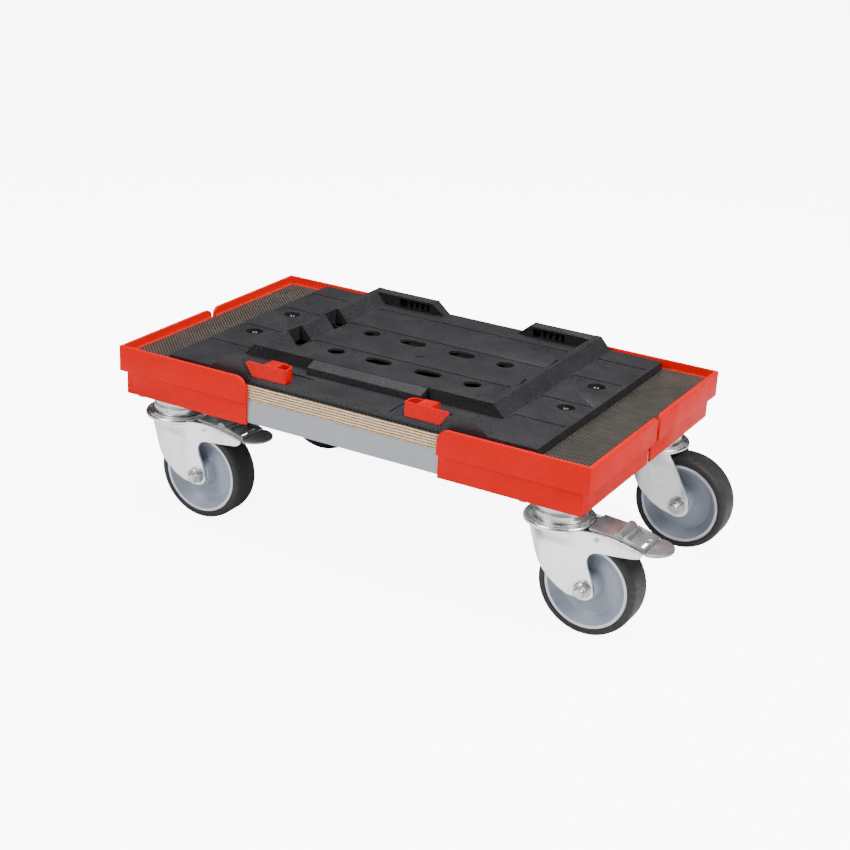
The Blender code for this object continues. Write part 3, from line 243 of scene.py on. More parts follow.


# %% [markdown]
# ## Plastics
#
# The mouldings share one recipe: a base colour that drifts towards a second tone, a grain
# for the bump, and a gloss that varies. Only the numbers differ between the red buffers,
# the smoother latches, the black plate and the wheel centres. The plate's edges and the
# wheel centres' outer lips are painted a little paler as a painted highlight, so each has a
# material of its own.


# %% Moulded plastics
def make_plastic(title, colour, second, gloss, pebbles, depth, marks=0.15, shine=0.5, contrast=0.12):
    material, tree, shader = start_material(title, IOR=1.5, Specular_IOR_Level=shine)
    grain = use_group(tree, grain_group, Pebbles_per_metre=pebbles, Depth=1.0)
    drift = use_group(tree, blotch_group, Size=0.06, Low=0.0, High=1.0)
    scuffs = use_group(tree, marks_group, Amount=marks)
    tone = mix_colours(tree, drift.outputs["Value"], (*colour, 1), (*second, 1))
    speck = add_node(tree, "ShaderNodeMapRange", Value=grain.outputs["Shade"], From_Min=0.35,
                     From_Max=0.65, To_Min=1 - contrast, To_Max=1 + contrast)
    speckled = mix_colours(tree, 1.0, tone, speck.outputs["Result"], "MULTIPLY")
    pale = tuple(min(1.0, channel * 1.4 + 0.01) for channel in colour)
    worn = mix_colours(tree, scuffs.outputs["Mask"], speckled, (*pale, 1))
    tree.links.new(worn, shader.inputs["Base Color"])
    rough = use_group(tree, blotch_group, Size=0.03, Low=gloss - 0.06, High=gloss + 0.08)
    tree.links.new(rough.outputs["Value"], shader.inputs["Roughness"])
    add_bump(tree, shader, grain.outputs["Height"], 0.35, depth)
    return material


red_plastic = make_plastic("red_plastic", (0.66, 0.0012, 0.0004), (0.60, 0.0008, 0.0003), 0.5,
                           1300.0, 0.00025, marks=0.03, shine=0.07)
latch_plastic = make_plastic("latch_plastic", (0.60, 0.0004, 0.0006), (0.54, 0.0004, 0.0005), 0.35,
                             2600.0, 0.00008, marks=0.02, shine=0.1, contrast=0.05)
black_plastic = make_plastic("black_plastic", (0.0165, 0.0158, 0.0182), (0.023, 0.0222, 0.025), 0.46,
                             620.0, 0.0007, marks=0.15, shine=0.34, contrast=1.2)
black_highlight = make_plastic("black_plastic_edge", (0.050, 0.050, 0.053), (0.038, 0.038, 0.041), 0.4,
                          620.0, 0.0003, marks=0.2, shine=0.45, contrast=0.4)
wheel_plastic = make_plastic("wheel_plastic", (0.29, 0.325, 0.395), (0.26, 0.295, 0.36), 0.34,
                             1800.0, 0.00012, marks=0.1, contrast=0.05)
wheel_lip_highlight = make_plastic("wheel_plastic_lip", (0.66, 0.69, 0.74), (0.58, 0.61, 0.66), 0.3,
                         1800.0, 0.0001, marks=0.1, contrast=0.05)
print("plastics:", red_plastic.name, latch_plastic.name, black_plastic.name, black_highlight.name)
print("for the wheels:", wheel_plastic.name, wheel_lip_highlight.name)

# %% [markdown]
# ## Zinc plate, paint and rubber
#
# Bright zinc is a metal with a milky, uneven gloss, faint rolling lines and, on the tall
# fork legs, soft upright bands of painted sheen that stand in for reflections. Pedals that
# shoes rub are duller. Small turned fasteners are a darker zinc all over, and the darker tone
# is also painted shade for their corners. The rails are painted light grey over steel, so
# they show only a fine orange peel. The tyres are dull grey rubber that picks up dust.


# %% Zinc plate
def make_zinc(title, light, dark, metal=1.0, lines=0.2, gloss=(0.2, 0.34), sheen_bands=0.0):
    """Plated steel between two tones. The lower the two values of gloss, the shinier it is."""
    material, tree, shader = start_material(title, metal)
    milky = use_group(tree, blotch_group, Size=0.014, Low=0.0, High=1.0)
    place = add_node(tree, "ShaderNodeTexCoord").outputs["Object"]
    # The upright bands are painted sheen: a noise stretched along Z moves the tone between the light and
    # dark colours, in place of reflections running up the legs.
    upright = add_node(tree, "ShaderNodeVectorMath", {"operation": "MULTIPLY"}, i0=place,
                       i1=(70.0, 70.0, 5.0))
    sheen = add_node(tree, "ShaderNodeTexNoise", Vector=upright.outputs["Vector"], Scale=1.0, Detail=1.0)
    painted_sheen_band = add_node(tree, "ShaderNodeMapRange", Value=sheen.outputs["Fac"], From_Min=0.4, From_Max=0.62,
                    To_Min=0.0, To_Max=sheen_bands)
    spots = add_math(tree, "MULTIPLY", milky.outputs["Value"], 1.0 - sheen_bands)
    share = add_math(tree, "ADD", spots, painted_sheen_band.outputs["Result"])
    tone = mix_colours(tree, share, (*light, 1), (*dark, 1))
    rolling = use_group(tree, marks_group, Amount=lines, Stretch=(12.0, 900.0, 900.0))
    lined = mix_colours(tree, rolling.outputs["Mask"], tone, (0.42, 0.44, 0.46, 1))
    tree.links.new(lined, shader.inputs["Base Color"])
    rough = use_group(tree, blotch_group, Size=0.02, Low=gloss[0], High=gloss[1])
    tree.links.new(rough.outputs["Value"], shader.inputs["Roughness"])
    fine = use_group(tree, grain_group, Pebbles_per_metre=3000.0, Depth=1.0)
    add_bump(tree, shader, fine.outputs["Height"], 0.05, 0.00004)
    return material


zinc_plate = make_zinc("zinc_plate", (0.97, 0.975, 0.97), (0.74, 0.76, 0.76), gloss=(0.22, 0.34),
                       sheen_bands=0.75)
zinc_pedal = make_zinc("zinc_pedal", (0.36, 0.365, 0.37), (0.22, 0.225, 0.23), metal=0.75, lines=0.3,
                       gloss=(0.34, 0.48))
# A mid-grey zinc, painted darker all over; the darker tone is also painted shade for the fasteners' corners
# and creases.
zinc_fastener = make_zinc("zinc_fastener", (0.76, 0.77, 0.78), (0.36, 0.37, 0.38), lines=0.15,
                          gloss=(0.26, 0.38))
print("made", zinc_plate.name, zinc_pedal.name, zinc_fastener.name)

# %% Dark screws, with a painted glint at the middle of each head
# The four screws stand at the corners of a rectangle about the panel's middle, so one
# distance from the nearest corner serves them all.
screw_low, screw_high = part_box("adapter_screw_front_right")
screw_reach = (screw_low + screw_high) / 2 - deck_middle
SCREW_X = abs(screw_reach.x)
SCREW_Y = abs(screw_reach.y)
GLINT_RADIUS = 2.6 * MM
BLACK_RADIUS = 3.2 * MM

dark_screw, tree, shader = start_material("dark_screw", 1.0)
place = add_node(tree, "ShaderNodeTexCoord").outputs["Object"]
axes = add_node(tree, "ShaderNodeSeparateXYZ", Vector=place)
side = add_math(tree, "ABSOLUTE", add_math(tree, "SUBTRACT", axes.outputs["X"], deck_middle.x))
off_x = add_math(tree, "SUBTRACT", side, SCREW_X)
off_y = add_math(tree, "SUBTRACT", add_math(tree, "ABSOLUTE", axes.outputs["Y"]), SCREW_Y)
flat_offset = add_node(tree, "ShaderNodeCombineXYZ", X=off_x, Y=off_y)
from_axis = add_node(tree, "ShaderNodeVectorMath", {"operation": "LENGTH"}, i0=flat_offset.outputs["Vector"])
ragged = use_group(tree, blotch_group, Size=0.0015, Low=-0.6 * MM, High=0.6 * MM)
edge = add_math(tree, "ADD", from_axis.outputs["Value"], ragged.outputs["Value"])
painted_glint = add_node(tree, "ShaderNodeMapRange", Value=edge, From_Min=BLACK_RADIUS, From_Max=GLINT_RADIUS,
                To_Min=0.0, To_Max=1.0)
# The head is dark; the bright patch with a ragged rim at its middle is a painted glint.
tone = mix_colours(tree, painted_glint.outputs["Result"], (0.05, 0.05, 0.055, 1), (0.92, 0.92, 0.93, 1))
tree.links.new(tone, shader.inputs["Base Color"])
gloss = use_group(tree, blotch_group, Size=0.004, Low=0.22, High=0.42)
tree.links.new(gloss.outputs["Value"], shader.inputs["Roughness"])
fine = use_group(tree, grain_group, Pebbles_per_metre=3000.0, Depth=1.0)
add_bump(tree, shader, fine.outputs["Height"], 0.15, 0.00006)
print("made", dark_screw.name)

# %% Grey paint
grey_paint, tree, shader = start_material("grey_paint", 0.0)
drift = use_group(tree, blotch_group, Size=0.09, Low=0.0, High=1.0)
tone = mix_colours(tree, drift.outputs["Value"], (0.31, 0.33, 0.355, 1), (0.28, 0.30, 0.325, 1))
scuffs = use_group(tree, marks_group, Amount=0.2, Stretch=(20.0, 300.0, 600.0))
worn = mix_colours(tree, scuffs.outputs["Mask"], tone, (0.40, 0.42, 0.44, 1))
tree.links.new(worn, shader.inputs["Base Color"])
gloss = use_group(tree, blotch_group, Size=0.04, Low=0.32, High=0.46)
tree.links.new(gloss.outputs["Value"], shader.inputs["Roughness"])
peel = use_group(tree, grain_group, Pebbles_per_metre=450.0, Depth=1.0)
add_bump(tree, shader, peel.outputs["Height"], 0.15, 0.00012)
print("made", grey_paint.name)

# %% Grey rubber
grey_rubber, tree, shader = start_material("grey_rubber", 0.0, Specular_IOR_Level=0.3)
dust = use_group(tree, blotch_group, Size=0.015, Low=0.0, High=1.0)
tone = mix_colours(tree, dust.outputs["Value"], (0.018, 0.0185, 0.0205, 1), (0.028, 0.0285, 0.031, 1))
scuffs = use_group(tree, marks_group, Amount=0.3, Stretch=(200.0, 40.0, 200.0))
worn = mix_colours(tree, scuffs.outputs["Mask"], tone, (0.075, 0.075, 0.075, 1))
tree.links.new(worn, shader.inputs["Base Color"])
gloss = use_group(tree, blotch_group, Size=0.02, Low=0.5, High=0.68)
tree.links.new(gloss.outputs["Value"], shader.inputs["Roughness"])
skin = use_group(tree, grain_group, Pebbles_per_metre=1600.0, Depth=1.0)
add_bump(tree, shader, skin.outputs["Height"], 0.25, 0.00015)
print("made", grey_rubber.name)

# %% [markdown]
# ## Plywood
#
# The panel has two looks. Its faces carry a dark film, pressed against a wire mesh so that
# it holds a close pattern of small pits. Its edges are bare and show the plies: pale sheets
# whose grain runs along the edge, and darker ones cut across it, with thin glue lines.

# %% Mesh-pressed film
MESH_PITCH = 4.2 * MM
HEAVIER_WIRES = 0.2         # how much the wires along the short side press deeper
PIT_SLOPE = 0.15

mesh_film, tree, shader = start_material("mesh_film", 0.0, Specular_IOR_Level=0.12)
place = add_node(tree, "ShaderNodeTexCoord").outputs["Object"]
axes = add_node(tree, "ShaderNodeSeparateXYZ", Vector=place)
turns = 2 * math.pi / MESH_PITCH
across = add_math(tree, "SINE", add_math(tree, "MULTIPLY", axes.outputs["X"], turns))
along = add_math(tree, "SINE", add_math(tree, "MULTIPLY", axes.outputs["Y"], turns))
weave = add_math(tree, "MULTIPLY", across, along)
wires = add_math(tree, "ADD", weave, add_math(tree, "MULTIPLY", across, HEAVIER_WIRES))
pits = add_node(tree, "ShaderNodeMapRange", Value=wires, From_Min=-PIT_SLOPE, From_Max=PIT_SLOPE,
                To_Min=0.0, To_Max=1.0)
drift = use_group(tree, blotch_group, Size=0.03, Low=0.0, High=1.0)
tone = mix_colours(tree, drift.outputs["Value"], (0.098, 0.092, 0.080, 1), (0.068, 0.063, 0.054, 1))
# The pits are painted near black, a painted shade inside them; the bump below gives them their depth.
pit_shade = mix_colours(tree, pits.outputs["Result"], tone, (0.004, 0.0036, 0.003, 1))
scuffs = use_group(tree, marks_group, Amount=0.25)
worn = mix_colours(tree, scuffs.outputs["Mask"], pit_shade, (0.10, 0.085, 0.07, 1))
tree.links.new(worn, shader.inputs["Base Color"])
gloss = use_group(tree, blotch_group, Size=0.03, Low=0.38, High=0.55)
tree.links.new(gloss.outputs["Value"], shader.inputs["Roughness"])
depth = add_math(tree, "SUBTRACT", 1.0, pits.outputs["Result"])
add_bump(tree, shader, depth, 0.6, 0.0004)
print("made", mesh_film.name, "pitch", MESH_PITCH)

# %% Bare plies
PLIES = 11
WAVE = 0.9                  # how far the plies wander, as a share of one ply
GLUE_LINE = 0.1

bare_plies, tree, shader = start_material("bare_plies", 0.0)
place = add_node(tree, "ShaderNodeTexCoord").outputs["Object"]
wander = add_node(tree, "ShaderNodeTexNoise", Vector=place, Scale=35.0, Detail=2.0)
axes = add_node(tree, "ShaderNodeSeparateXYZ", Vector=place)
from_base = add_math(tree, "SUBTRACT", axes.outputs["Z"], deck_low.z)
ply = add_math(tree, "MULTIPLY", from_base, PLIES / (deck_high.z - deck_low.z))
ply = add_math(tree, "ADD", ply, add_math(tree, "MULTIPLY", wander.outputs["Fac"], WAVE))
place_in_ply = add_math(tree, "FRACT", ply)
odd = add_math(tree, "GREATER_THAN", add_math(tree, "FRACT", add_math(tree, "MULTIPLY", ply, 0.5)), 0.5)
long_grain = add_node(tree, "ShaderNodeVectorMath", {"operation": "MULTIPLY"}, i0=place,
                      i1=(60.0, 60.0, 1800.0))
streaks = add_node(tree, "ShaderNodeTexNoise", Vector=long_grain.outputs["Vector"], Scale=1.0, Detail=5.0)
end_grain = add_node(tree, "ShaderNodeVectorMath", {"operation": "MULTIPLY"}, i0=place,
                     i1=(650.0, 650.0, 1500.0))
pores = add_node(tree, "ShaderNodeTexNoise", Vector=end_grain.outputs["Vector"], Scale=1.0, Detail=3.0)
pale = mix_colours(tree, streaks.outputs["Fac"], (0.88, 0.70, 0.48, 1), (0.66, 0.45, 0.27, 1))
pore_depth = add_node(tree, "ShaderNodeMapRange", Value=pores.outputs["Fac"], From_Min=0.44,
                      From_Max=0.56, To_Min=0.0, To_Max=1.0)
dark = mix_colours(tree, pore_depth.outputs["Result"], (0.50, 0.31, 0.16, 1), (0.07, 0.035, 0.015, 1))
sheets = mix_colours(tree, odd, pale, dark)
glue = add_math(tree, "LESS_THAN", place_in_ply, GLUE_LINE)
glued = mix_colours(tree, glue, sheets, (0.13, 0.07, 0.035, 1))
tree.links.new(glued, shader.inputs["Base Color"])
rough = use_group(tree, blotch_group, Size=0.01, Low=0.6, High=0.8)
tree.links.new(rough.outputs["Value"], shader.inputs["Roughness"])
wood_height = add_math(tree, "SUBTRACT", streaks.outputs["Fac"],
                       add_math(tree, "MULTIPLY", odd, pore_depth.outputs["Result"]))
add_bump(tree, shader, wood_height, 0.5, 0.0003)
print("made", bare_plies.name, "plies", PLIES)

# %% [markdown]
# ## From measured solids to finished pieces
#
# The measured solids have the right shape but knife-sharp edges. Real mouldings and
# pressings always have a small radius, and that radius is what catches the light. So each
# flat-sided piece is a clean copy of its solid with a live Bevel on its edges.


# %% Piece helpers
def clean_copy(node):
    """A copy of a solid's mesh with its loose triangles merged into one surface."""
    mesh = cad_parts[node].data.copy()
    mesh.materials.clear()
    bm = bmesh.new()
    bm.from_mesh(mesh)
    bmesh.ops.remove_doubles(bm, verts=bm.verts, dist=1e-5)
    bm.to_mesh(mesh)
    bm.free()
    return mesh


def show(name, mesh, body, slot, materials, *nodes, sharp=35):
    """One finished piece: placed, painted, riding on its body in place of its solids."""
    mesh.materials.clear()
    for material in materials:
        mesh.materials.append(material)
    mesh.shade_smooth()
    mesh.set_sharp_from_angle(angle=math.radians(sharp))
    piece = bpy.data.objects.new(name, mesh)
    bpy.context.scene.collection.objects.link(piece)
    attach(piece, body)
    if nodes:
        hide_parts(*nodes)
    return piece


def round_edges(piece, width, angle=28, edge_slot=-1):
    """A live Bevel. With an edge_slot, the new faces take that one of the piece's materials."""
    bevel = piece.modifiers.new("round edges", "BEVEL")
    bevel.width = width
    bevel.segments = 2
    bevel.limit_method = "ANGLE"
    bevel.angle_limit = math.radians(angle)
    bevel.miter_outer = "MITER_ARC"
    bevel.use_clamp_overlap = True
    bevel.harden_normals = True
    bevel.material = edge_slot
    return piece


def soften(node, body, slot, materials, width, sharp=35, **settings):
    """The usual finish: a clean copy of a solid with rounded edges."""
    piece = show(f"{node}_finished", clean_copy(node), body, slot, materials, node, sharp=sharp)
    return round_edges(piece, width, **settings)


def mesh_from(piece):
    """The piece's shape with its modifiers carried out. The piece itself is removed."""
    bpy.context.view_layer.update()
    graph = bpy.context.evaluated_depsgraph_get()
    mesh = bpy.data.meshes.new_from_object(piece.evaluated_get(graph))
    bpy.data.objects.remove(piece)
    return mesh


# %% Platform: panel, rails and buffers
panel = soften("deck_panel", "dolly", "coated_plywood", [bare_plies, mesh_film], 0.3 * MM)
for face in panel.data.polygons:
    lies_flat = abs(face.normal.z) > 0.9
    face.material_index = 1 if lies_flat else 0
soften("front_rail", "dolly", "painted_steel", [grey_paint], 0.6 * MM)
soften("rear_rail", "dolly", "painted_steel", [grey_paint], 0.6 * MM)
for corner in CASTERS:
    soften(f"corner_buffer_{corner}", "dolly", "red_plastic", [red_plastic], 0.35 * MM, angle=50)
print("platform pieces: 7")

# %% Adapter plate and latches
# The bevel faces take the paler black in slot 1, a painted highlight along every edge.
plate = soften("case_adapter_plate", "dolly", "black_plastic", [black_plastic, black_highlight],
               0.35 * MM, sharp=1.5, edge_slot=1, angle=20)
for side in ("left", "right"):
    soften(f"latch_{side}", f"latch_body_{side}", "latch_plastic", [latch_plastic], 0.5 * MM,
           angle=40)
print("plate faces:", len(plate.data.polygons))

# %% [markdown]
# ## Repeated fasteners with Geometry Nodes
#
# Sixteen bolts hold the casters and four cross-head screws hold the plate. A small node
# tree builds one fastener and sets it on every point of a point mesh, so a place is one
# vertex and nothing is copied by hand. The result is realised into a plain mesh.


# %% Geometry Nodes helpers
def points_mesh(title, places):
    mesh = bpy.data.meshes.new(title)
    mesh.from_pydata([tuple(place) for place in places], [], [])
    return mesh


def new_tree(title, inputs):
    tree = bpy.data.node_groups.new(title, "GeometryNodeTree")
    tree.interface.new_socket(name="Points", in_out="INPUT", socket_type="NodeSocketGeometry")
    for label, kind, value in inputs:
        socket = tree.interface.new_socket(name=label, in_out="INPUT", socket_type=kind)
        socket.default_value = value
    tree.interface.new_socket(name="Result", in_out="OUTPUT", socket_type="NodeSocketGeometry")
    return tree, tree.nodes.new("NodeGroupInput"), tree.nodes.new("NodeGroupOutput")


def end_tree(tree, leave, geometry, material):
    whole = add_node(tree, "GeometryNodeRealizeInstances", Geometry=geometry)
    painted = add_node(tree, "GeometryNodeSetMaterial", Geometry=whole.outputs["Geometry"],
                       Material=material)
    tree.links.new(painted.outputs["Geometry"], leave.inputs["Result"])


def grow(tree, places, **sizes):
    """The tree's result on these places, as a plain mesh. Sizes are set by socket identifier."""
    holder = bpy.data.objects.new(tree.name, points_mesh(tree.name, places))
    bpy.context.scene.collection.objects.link(holder)
    modifier = holder.modifiers.new(tree.name, "NODES")
    modifier.node_group = tree
    for item in tree.interface.items_tree:
        label = item.name.replace(" ", "_")
        if item.in_out == "INPUT" and label in sizes:
            modifier[item.identifier] = sizes[label]
    return mesh_from(holder)


def node_cylinder(tree, vertices, radius, depth, z):
    """A cylinder whose middle stands at height z."""
    solid = add_node(tree, "GeometryNodeMeshCylinder", Vertices=vertices, Radius=radius, Depth=depth)
    lift = add_node(tree, "ShaderNodeCombineXYZ", Z=z)
    return add_node(tree, "GeometryNodeTransform", Geometry=solid.outputs["Mesh"],
                    Translation=lift.outputs["Vector"]).outputs["Geometry"]


def join_geometry(tree, *parts):
    node = tree.nodes.new("GeometryNodeJoinGeometry")
    for geometry in reversed(parts):
        tree.links.new(geometry, node.inputs[0])
    return node.outputs["Geometry"]


# %% Tree: hexagon bolt on a washer, seen from below
bolt_tree, entry, leave = new_tree("caster_bolts", [("Washer radius", "NodeSocketFloat", 6.5 * MM),
                                                    ("Head radius", "NodeSocketFloat", 5 * MM),
                                                    ("Head height", "NodeSocketFloat", 4 * MM)])
WASHER_SHEET = 1.2 * MM
washer = node_cylinder(bolt_tree, 24, entry.outputs["Washer radius"], WASHER_SHEET, -WASHER_SHEET / 2)
half_head = add_math(bolt_tree, "MULTIPLY", entry.outputs["Head height"], -0.5)
head_z = add_math(bolt_tree, "SUBTRACT", half_head, WASHER_SHEET)
head = node_cylinder(bolt_tree, 6, entry.outputs["Head radius"], entry.outputs["Head height"], head_z)
on_points = add_node(bolt_tree, "GeometryNodeInstanceOnPoints", Points=entry.outputs["Points"],
                     Instance=join_geometry(bolt_tree, washer, head))
end_tree(bolt_tree, leave, on_points.outputs["Instances"], zinc_fastener)

BOLT_INSET = 7.5 * MM
bolt_places = []
for corner in CASTERS:
    low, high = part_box(f"mount_plate_{corner}")
    for x in (low.x + BOLT_INSET, high.x - BOLT_INSET):
        for y in (low.y + BOLT_INSET, high.y - BOLT_INSET):
            bolt_places.append((x, y, low.z))
bolts = grow(bolt_tree, bolt_places, Washer_radius=6.5 * MM, Head_radius=5.2 * MM,
             Head_height=2.4 * MM)
show("caster_bolts", bolts, "dolly", "zinc_plated_steel", [zinc_fastener])
print("caster bolts:", len(bolt_places))

# %% Tree: cross-head screw
screw_tree, entry, leave = new_tree("cross_head_screws", [("Head radius", "NodeSocketFloat", 5 * MM),
                                                          ("Head height", "NodeSocketFloat", 2.4 * MM),
                                                          ("Slot width", "NodeSocketFloat", 1.2 * MM)])
half_height = add_math(screw_tree, "MULTIPLY", entry.outputs["Head height"], 0.5)
head = node_cylinder(screw_tree, 32, entry.outputs["Head radius"], entry.outputs["Head height"],
                     half_height)
SHANK_RADIUS = 2.2 * MM
SHANK_LENGTH = 4 * MM
SHANK_OVERLAP = 0.1 * MM
shank = node_cylinder(screw_tree, 16, SHANK_RADIUS, SHANK_LENGTH, SHANK_OVERLAP - SHANK_LENGTH / 2)
slot_length = add_math(screw_tree, "MULTIPLY", entry.outputs["Head radius"], 1.3)
SLOT_DEPTH = 1.2 * MM
slots = []
for turn in (math.radians(20), math.radians(110)):
    size = add_node(screw_tree, "ShaderNodeCombineXYZ", X=slot_length,
                    Y=entry.outputs["Slot width"], Z=2 * SLOT_DEPTH)
    bar = add_node(screw_tree, "GeometryNodeMeshCube", Size=size.outputs["Vector"])
    lift = add_node(screw_tree, "ShaderNodeCombineXYZ", Z=entry.outputs["Head height"])
    moved = add_node(screw_tree, "GeometryNodeTransform", Geometry=bar.outputs["Mesh"],
                     Translation=lift.outputs["Vector"], Rotation=(0, 0, turn))
    slots.append(moved.outputs["Geometry"])
cut = add_node(screw_tree, "GeometryNodeMeshBoolean", {"operation": "DIFFERENCE"})
screw_tree.links.new(head, cut.inputs["Mesh 1"])
for bar in slots:
    screw_tree.links.new(bar, cut.inputs["Mesh 2"])
on_points = add_node(screw_tree, "GeometryNodeInstanceOnPoints", Points=entry.outputs["Points"],
                     Instance=join_geometry(screw_tree, cut.outputs["Mesh"], shank))
end_tree(screw_tree, leave, on_points.outputs["Instances"], dark_screw)

screw_nodes = [f"adapter_screw_{corner}" for corner in CASTERS]
HEAD_HEIGHT = 2.6 * MM
screw_places = []
for node in screw_nodes:
    low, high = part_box(node)
    screw_places.append(((low.x + high.x) / 2, (low.y + high.y) / 2, high.z - HEAD_HEIGHT))
low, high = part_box(screw_nodes[0])
screws = grow(screw_tree, screw_places, Head_radius=(high.x - low.x) / 2, Head_height=HEAD_HEIGHT,
              Slot_width=1.5 * MM)
show("adapter_screws", screws, "dolly", "zinc_plated_steel", [dark_screw], *screw_nodes)
print("adapter screws:", len(screw_places))

# %% [markdown]
# ## Ribs on the back hooks
#
# The flat tops of the back hooks carry long parallel ribs that stiffen them and keep the
# case's foot from sticking. They follow one rule, so a tree lays bars side by side.

# %% Tree: parallel ribs
rib_tree, entry, leave = new_tree("hook_ribs", [("Count", "NodeSocketInt", 3),
                                                ("Pitch", "NodeSocketFloat", 4 * MM),
                                                ("Length", "NodeSocketFloat", 70 * MM),
                                                ("Width", "NodeSocketFloat", 1.4 * MM),
                                                ("Height", "NodeSocketFloat", 0.6 * MM)])
step = add_node(rib_tree, "ShaderNodeCombineXYZ", Y=entry.outputs["Pitch"])
row = add_node(rib_tree, "GeometryNodeMeshLine", Count=entry.outputs["Count"],
               Offset=step.outputs["Vector"])
rows = add_node(rib_tree, "GeometryNodeInstanceOnPoints", Points=entry.outputs["Points"],
                Instance=row.outputs["Mesh"])
whole_rows = add_node(rib_tree, "GeometryNodeRealizeInstances", Geometry=rows.outputs["Instances"])
doubled = add_math(rib_tree, "MULTIPLY", entry.outputs["Height"], 2.0)
size = add_node(rib_tree, "ShaderNodeCombineXYZ", X=entry.outputs["Length"],
                Y=entry.outputs["Width"], Z=doubled)
bar = add_node(rib_tree, "GeometryNodeMeshCube", Size=size.outputs["Vector"])
ribs = add_node(rib_tree, "GeometryNodeInstanceOnPoints", Points=whole_rows.outputs["Geometry"],
                Instance=bar.outputs["Mesh"])
end_tree(rib_tree, leave, ribs.outputs["Instances"], black_plastic)

plate_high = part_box("case_adapter_plate")[1]
HOOK_MIDDLE = 98 * MM
HOOK_LENGTH = 68 * MM
HOOK_TOP_Z = plate_high.z - 1 * MM
FIRST_RIB = 12.6 * MM       # in front of the plate's back edge
RIB_SINK = 0.3 * MM
rib_places = [(deck_middle.x + side * HOOK_MIDDLE, plate_high.y - FIRST_RIB, HOOK_TOP_Z - RIB_SINK)
              for side in (-1, 1)]
ribs = grow(rib_tree, rib_places, Count=3, Pitch=4.2 * MM, Length=HOOK_LENGTH, Width=1.6 * MM,
            Height=0.5 * MM)
# The ribs take the paler black, a painted highlight on their tops.
show("hook_ribs", ribs, "dolly", "black_plastic", [black_highlight])
print("hook ribs: 6")

# %% [markdown]
# ## Turned parts
#
# Tyres, wheel centres, ball races and crowns are bodies of revolution. Each is one profile
# and a Screw modifier, with enough steps to look round. The profile runs down its outer
# side, so that the faces point out.


# %% Turning helper
def turned_mesh(title, profile, steps=96, ring=True):
    mesh = bpy.data.meshes.new(title)
    edges = [(i, i + 1) for i in range(len(profile) - 1)]
    if ring:
        edges.append((len(profile) - 1, 0))
    mesh.from_pydata([(radius, 0, height) for radius, height in profile], edges, [])
    holder = bpy.data.objects.new(title, mesh)
    bpy.context.scene.collection.objects.link(holder)
    screw = holder.modifiers.new("turn", "SCREW")
    screw.steps = steps
    screw.render_steps = steps
    screw.use_merge_vertices = True
    screw.merge_threshold = 1e-6
    result = mesh_from(holder)
    bm = bmesh.new()
    bm.from_mesh(result)
    bmesh.ops.remove_doubles(bm, verts=bm.verts, dist=1e-6)
    bmesh.ops.recalc_face_normals(bm, faces=bm.faces)
    bm.to_mesh(result)
    bm.free()
    return result


def rounded(corners, radius, steps=4):
    """A closed profile with each corner replaced by a small arc."""
    result = []
    count = len(corners)
    for index in range(count):
        corner = Vector(corners[index])
        before = Vector(corners[index - 1]) - corner
        after = Vector(corners[(index + 1) % count]) - corner
        reach = min(radius, before.length * 0.45, after.length * 0.45)
        start = corner + before.normalized() * reach
        end = corner + after.normalized() * reach
        for step in range(steps + 1):
            t = step / steps
            result.append(tuple(start * (1 - t) ** 2 + corner * 2 * t * (1 - t) + end * t * t))
    return result


def mirror_profile(side):
    """A profile's upper half and its mirror image below."""
    return side + [(radius, -height) for radius, height in reversed(side)]


def placed(mesh, matrix):
    copy = mesh.copy()
    copy.transform(matrix)
    return copy


def joined(title, *meshes):
    bm = bmesh.new()
    for mesh in meshes:
        bm.from_mesh(mesh)
    result = bpy.data.meshes.new(title)
    bm.to_mesh(result)
    bm.free()
    return result


# %% Wheel sizes from the measured model
tyre_low, tyre_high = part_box("tyre_front_right")
WHEEL_RADIUS = (tyre_high.z - tyre_low.z) / 2
TREAD_HALF = (tyre_high.y - tyre_low.y) / 2
rim_low, rim_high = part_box("wheel_rim_front_right")
RIM_RADIUS = (rim_high.z - rim_low.z) / 2
HUB_HALF = (rim_high.y - rim_low.y) / 2
print("wheel radius", round(WHEEL_RADIUS, 4), "rim radius", round(RIM_RADIUS, 4))

# %% Tyre and wheel centre
tyre_side = [(RIM_RADIUS + 0.1 * MM, TREAD_HALF - 0.4 * MM), (RIM_RADIUS + 1.2 * MM, TREAD_HALF),
             (WHEEL_RADIUS - 4.2 * MM, TREAD_HALF), (WHEEL_RADIUS - 1.1 * MM, TREAD_HALF - 1.8 * MM),
             (WHEEL_RADIUS, TREAD_HALF - 6 * MM)]
tyre_mesh = turned_mesh("tyre", rounded(mirror_profile(tyre_side), 1.6 * MM), 128)

rim_side = [(8.7 * MM, HUB_HALF), (11.5 * MM, HUB_HALF), (12.6 * MM, HUB_HALF - 1 * MM),
            (14.5 * MM, 7.5 * MM), (17 * MM, 5.4 * MM), (27 * MM, 4.6 * MM), (31 * MM, 5.6 * MM),
            (RIM_RADIUS - 3.8 * MM, TREAD_HALF - 2.2 * MM), (RIM_RADIUS - 3 * MM, TREAD_HALF - 0.9 * MM),
            (RIM_RADIUS - 0.4 * MM, TREAD_HALF - 0.9 * MM), (RIM_RADIUS, TREAD_HALF - 1.4 * MM)]
rim_mesh = turned_mesh("wheel_centre", rounded(mirror_profile(rim_side), 1.2 * MM), 96)
# The lip is everything outside this radius. Its faces are kept by number, to be painted last in the paler
# colour, a painted highlight.
LIP_START = RIM_RADIUS - 3.2 * MM
lip_faces = [face.index for face in rim_mesh.polygons if face.center.xy.length > LIP_START]
print("tyre faces", len(tyre_mesh.polygons), "centre faces", len(rim_mesh.polygons))

